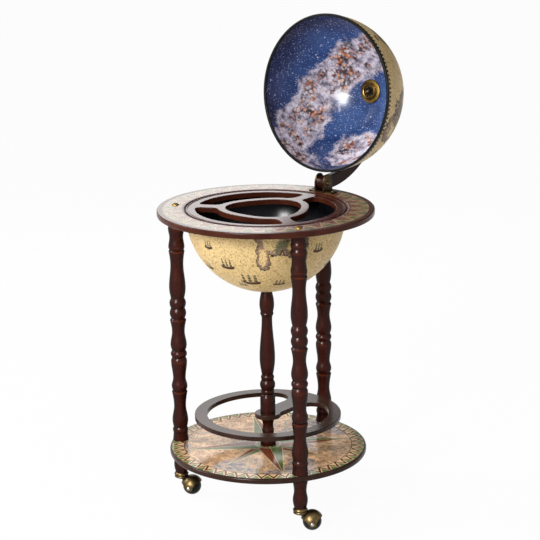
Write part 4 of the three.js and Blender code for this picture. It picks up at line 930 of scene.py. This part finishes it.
caster_headings = {"front_left": 21, "front_right": 40, "rear": 75}
roll_joint = next(joint for joint in frame["joints"] if joint["name"] == "caster_rear_roll")
ball_radius = roll_joint["pos_m"][2] / MM
socket_top, socket_height = heights("foot_rear")[0] - seat_gap, 12.8
socket_shares = [(0, 0.76, "s"), (0.2, 0.97, "r"), (0.42, 0.9, "s"), (0.68, 1, "r"), (1, 0.82, "s")]


def softened(points):
    """An open outline with its corners cut twice, so that it looks curved."""
    for _ in range(2):
        cut = [points[0]]
        for (x0, y0), (x1, y1) in zip(points, points[1:]):
            cut += [(x0 + (x1 - x0) * t, y0 + (y1 - y0) * t) for t in (0.25, 0.75)]
        points = cut + [points[-1]]
    return points


# Everything of the horn is drawn from the centre of its ball. The hood's edge is in shares of its
# radius: a front edge, a round lug for the axle and a back edge.
hood_inner, hood_outer, caster_offset, beyond, stem_length = 22.3, 23.9, 24, 27, 24
edge = [
    *softened([(1.2, 0.54), (0.88, 0.5), (0.5, 0.34), (0.36, 0)]), *arc(0, 0, 0.36, 0, -180, 8)[1:-1],
    *softened([(-0.36, 0), (-0.52, 0.2), (-0.76, 0.3), (-1.2, 0.3)]),
]
outline = [(x * hood_outer, y * hood_outer) for x, y in edge]
outline += [(-1.2 * hood_outer, beyond), (1.2 * hood_outer, beyond)]
outline.reverse()
lying = Matrix.Rotation(math.pi / 2, 4, "X")
neck_top = socket_top - socket_height - seat_gap - ball_radius
stem_top = socket_top + seat_gap + stem_length - ball_radius
on_stem = shift(-caster_offset, 0, 0)
lean = on_stem @ shift(7, 0, neck_top) @ Matrix.Rotation(math.radians(-33), 4, "Y")
neck = [(0, -16), (7.6, -16), *arc(8.8, -11.3, 1, 225, 90, 4), (7.6, -9), (7, -6), (7.6, 7.6), (0, 7.6)]
collar = [(0, -12.2), *arc(8.5, -11, 1.1, -90, 90, 6), (0, -9.9)]
room = rod(16.2, neck_top, neck_top + stem_length)
stem = [
    (0, neck_top - 2.2), (6.5, neck_top - 2.2), (6.5, neck_top), (4, neck_top), (4, stem_top), (0, stem_top),
]
horn = lathe("horn", arc(0, 0, hood_outer, -90, 90, 32), 48)
prism = slab("prism", outline, -beyond, beyond, edge=0.01)
prism.matrix_world = lying
carve(horn, prism, "INTERSECT")
for name, profile, segments, place, operation in (
    ("neck", neck, 40, lean, "UNION"), ("collar", collar, 40, lean, "UNION"),
    ("room", room, 48, on_stem, "DIFFERENCE"), ("stem", stem, 32, on_stem, "UNION"),
    ("hollow", arc(0, 0, hood_inner, -90, 90, 32), 48, Matrix(), "DIFFERENCE"),
):
    tool = lathe(name, profile, segments)
    tool.matrix_world = place
    carve(horn, tool, operation)

# Bluish grey with a spangle 2.5 mm across
zinc = cloudy(
    "zinc_plated_steel", [(0.3, "#9a9da0"), (0.7, "#c6c8ca")],
    {"Scale": 400, "Detail": 3}, 0.25, 0.4, Metallic=1,
)

socket_outline = turned(socket_shares, socket_top - socket_height, socket_top, 15.4)
rivet = [(0, -25.3), (1.6, -25.2), (2.9, -24.8), (3.4, -24.2), (2.2, -24.2)]
axle_outline = rivet + [(r, -z) for r, z in reversed(rivet)]
# The ball has flats at the ends of its axle
flat_radius = 3
flat_angle = math.degrees(math.acos(flat_radius / ball_radius))
flat_at = math.sqrt(ball_radius**2 - flat_radius**2)
ball_outline = [(0, -flat_at), *arc(0, 0, ball_radius, -flat_angle, flat_angle, 28), (0, flat_at)]
for name, axis in leg_axes.items():
    at_foot = Matrix.Translation(axis)
    socket = lathe(f"caster_socket_turned_{name}", socket_outline, 56)
    fit(socket, [antique_brass], "stand", f"caster_socket_{name}", at_foot)
    heading = Matrix.Rotation(math.radians(caster_headings[name]), 4, "Z")
    at_ball = at_foot @ heading @ shift(caster_offset, 0, ball_radius)
    hood = linked(f"caster_hood_pressed_{name}", horn.data)
    fit(hood, [antique_brass], f"caster_{name}", f"caster_horn_{name}", at_ball)
    axle = lathe(f"caster_axle_riveted_{name}", axle_outline, 32)
    fit(axle, [zinc], f"caster_{name}", f"caster_axle_{name}", at_ball @ lying)
    nylon = lathe(f"caster_ball_moulded_{name}", ball_outline, 56)
    fit(nylon, [moulding], f"ball_{name}", f"caster_ball_{name}", at_ball @ lying)
bpy.data.objects.remove(horn)

# ---- Rod, washer, nut and studs
# Plain zinc-plated steel: the threaded rod that ties shelf, holder and column, with its washer and
# nut under the shelf, and the studs that join each leg to its foot.

for name in ("column_tie_rod", "column_washer", "column_nut", *(f"leg_stud_{leg}" for leg in leg_axes)):
    finishes = frame["nodes"][name].data.materials
    finishes.clear()
    finishes.append(zinc)

# ---- Studio
# A white floor without a horizon, a pale sky and soft boxes at the front, left and back. A second
# box in front shows only in reflections, as the small highlights in the lid and the bowl. Camera,
# glossy and transmitted rays see the white; the shadow stays faint on the floor.


def seen_directly(add):
    """Is 1 for a ray that comes from the camera, by a reflection or through glass."""
    path = add("LightPath")
    seen = add("MAXIMUM", [path.outputs["Is Camera Ray"], path.outputs["Is Glossy Ray"]])
    return add("MAXIMUM", [seen, path.outputs["Is Transmission Ray"]])


scene = bpy.context.scene
scene.view_settings.view_transform = "Standard"
floor_shape = bmesh.new()
bmesh.ops.create_circle(floor_shape, cap_ends=True, radius=30, segments=64)
floor = finish_mesh("studio_floor", floor_shape)
white, add, _ = new_material("studio_floor_white")
seen = seen_directly(add)
matt = add("BsdfDiffuse", Color="#ebebeb")
lit = add("MixShader", [0.96, matt, add("Emission", Color=(1, 1, 1, 1), Strength=1)])
add("OutputMaterial", [add("MixShader", [seen, matt, lit])])
floor.data.materials.append(white)

world = bpy.data.worlds.new("studio")
scene.world = world
world.use_nodes = True
add = adder(world.node_tree)
soft = add("Background", Color=(1, 1, 1, 1), Strength=0.36)
bare = add("Background", Color=(1, 1, 1, 1), Strength=1)
add("OutputWorld", [add("MixShader", [seen_directly(add), soft, bare])])

for name, spot, aim, wide, tall, watts, lights_matt in (
    ("softbox_front", (0.42, -2.7, 1.75), (0, 0, 0.7), 0.46, 0.66, 53, True),
    ("softbox_front_glint", (0.48, -2.7, 1.7), (0, 0, 0.7), 0.7, 0.9, 110, False),
    ("softbox_left", (-2.4, -1.5, 2.2), (0, 0, 0.6), 0.9, 1.4, 65, True),
    ("softbox_back", (-1.75, 1.55, 1.35), (0, 0, 0.6), 1.1, 0.8, 7.5, True),
):
    light = bpy.data.lights.new(name, "AREA")
    light.shape = "RECTANGLE"
    light.size, light.size_y, light.energy = wide, tall, watts
    lamp = linked(name, light)
    lamp.location = spot
    lamp.rotation_euler = (Vector(aim) - Vector(spot)).to_track_quat("-Z", "Y").to_euler()
    lamp.visible_camera = False
    lamp.visible_diffuse = lights_matt

# A black cloth hangs behind on the right, out of the picture, and darkens what the tops mirror there
cloth, add, _ = new_material("studio_black_cloth")
add("OutputMaterial", [add("BsdfDiffuse", Color="#101010")])
cloth_shape = bmesh.new()
corners = ((-1.38, 1.8, 0.95), (1.9, 2.4, 0.95), (1.9, 2.4, 2.4), (-1.38, 1.8, 2.4))
cloth_shape.faces.new([cloth_shape.verts.new(corner) for corner in corners])
hanging = finish_mesh("studio_cloth_back", cloth_shape)
hanging.data.materials.append(cloth)
hanging.visible_camera = hanging.visible_diffuse = hanging.visible_shadow = False

# The camera as it was solved from the photo
camera_data = bpy.data.cameras.new("studio_camera")
camera_data.sensor_width = 36
camera_data.lens = 127.4
camera = linked("studio_camera", camera_data)
azimuth, elevation, roll = (math.radians(angle) for angle in (40.09, 15.04, -0.57))
camera.matrix_world = (
    Matrix.Translation((2.4786, -3.0239, 1.5374)) @ Matrix.Rotation(azimuth, 4, "Z")
    @ Matrix.Rotation(math.pi / 2 - elevation, 4, "X") @ Matrix.Rotation(roll, 4, "Z")
)
scene.camera = camera
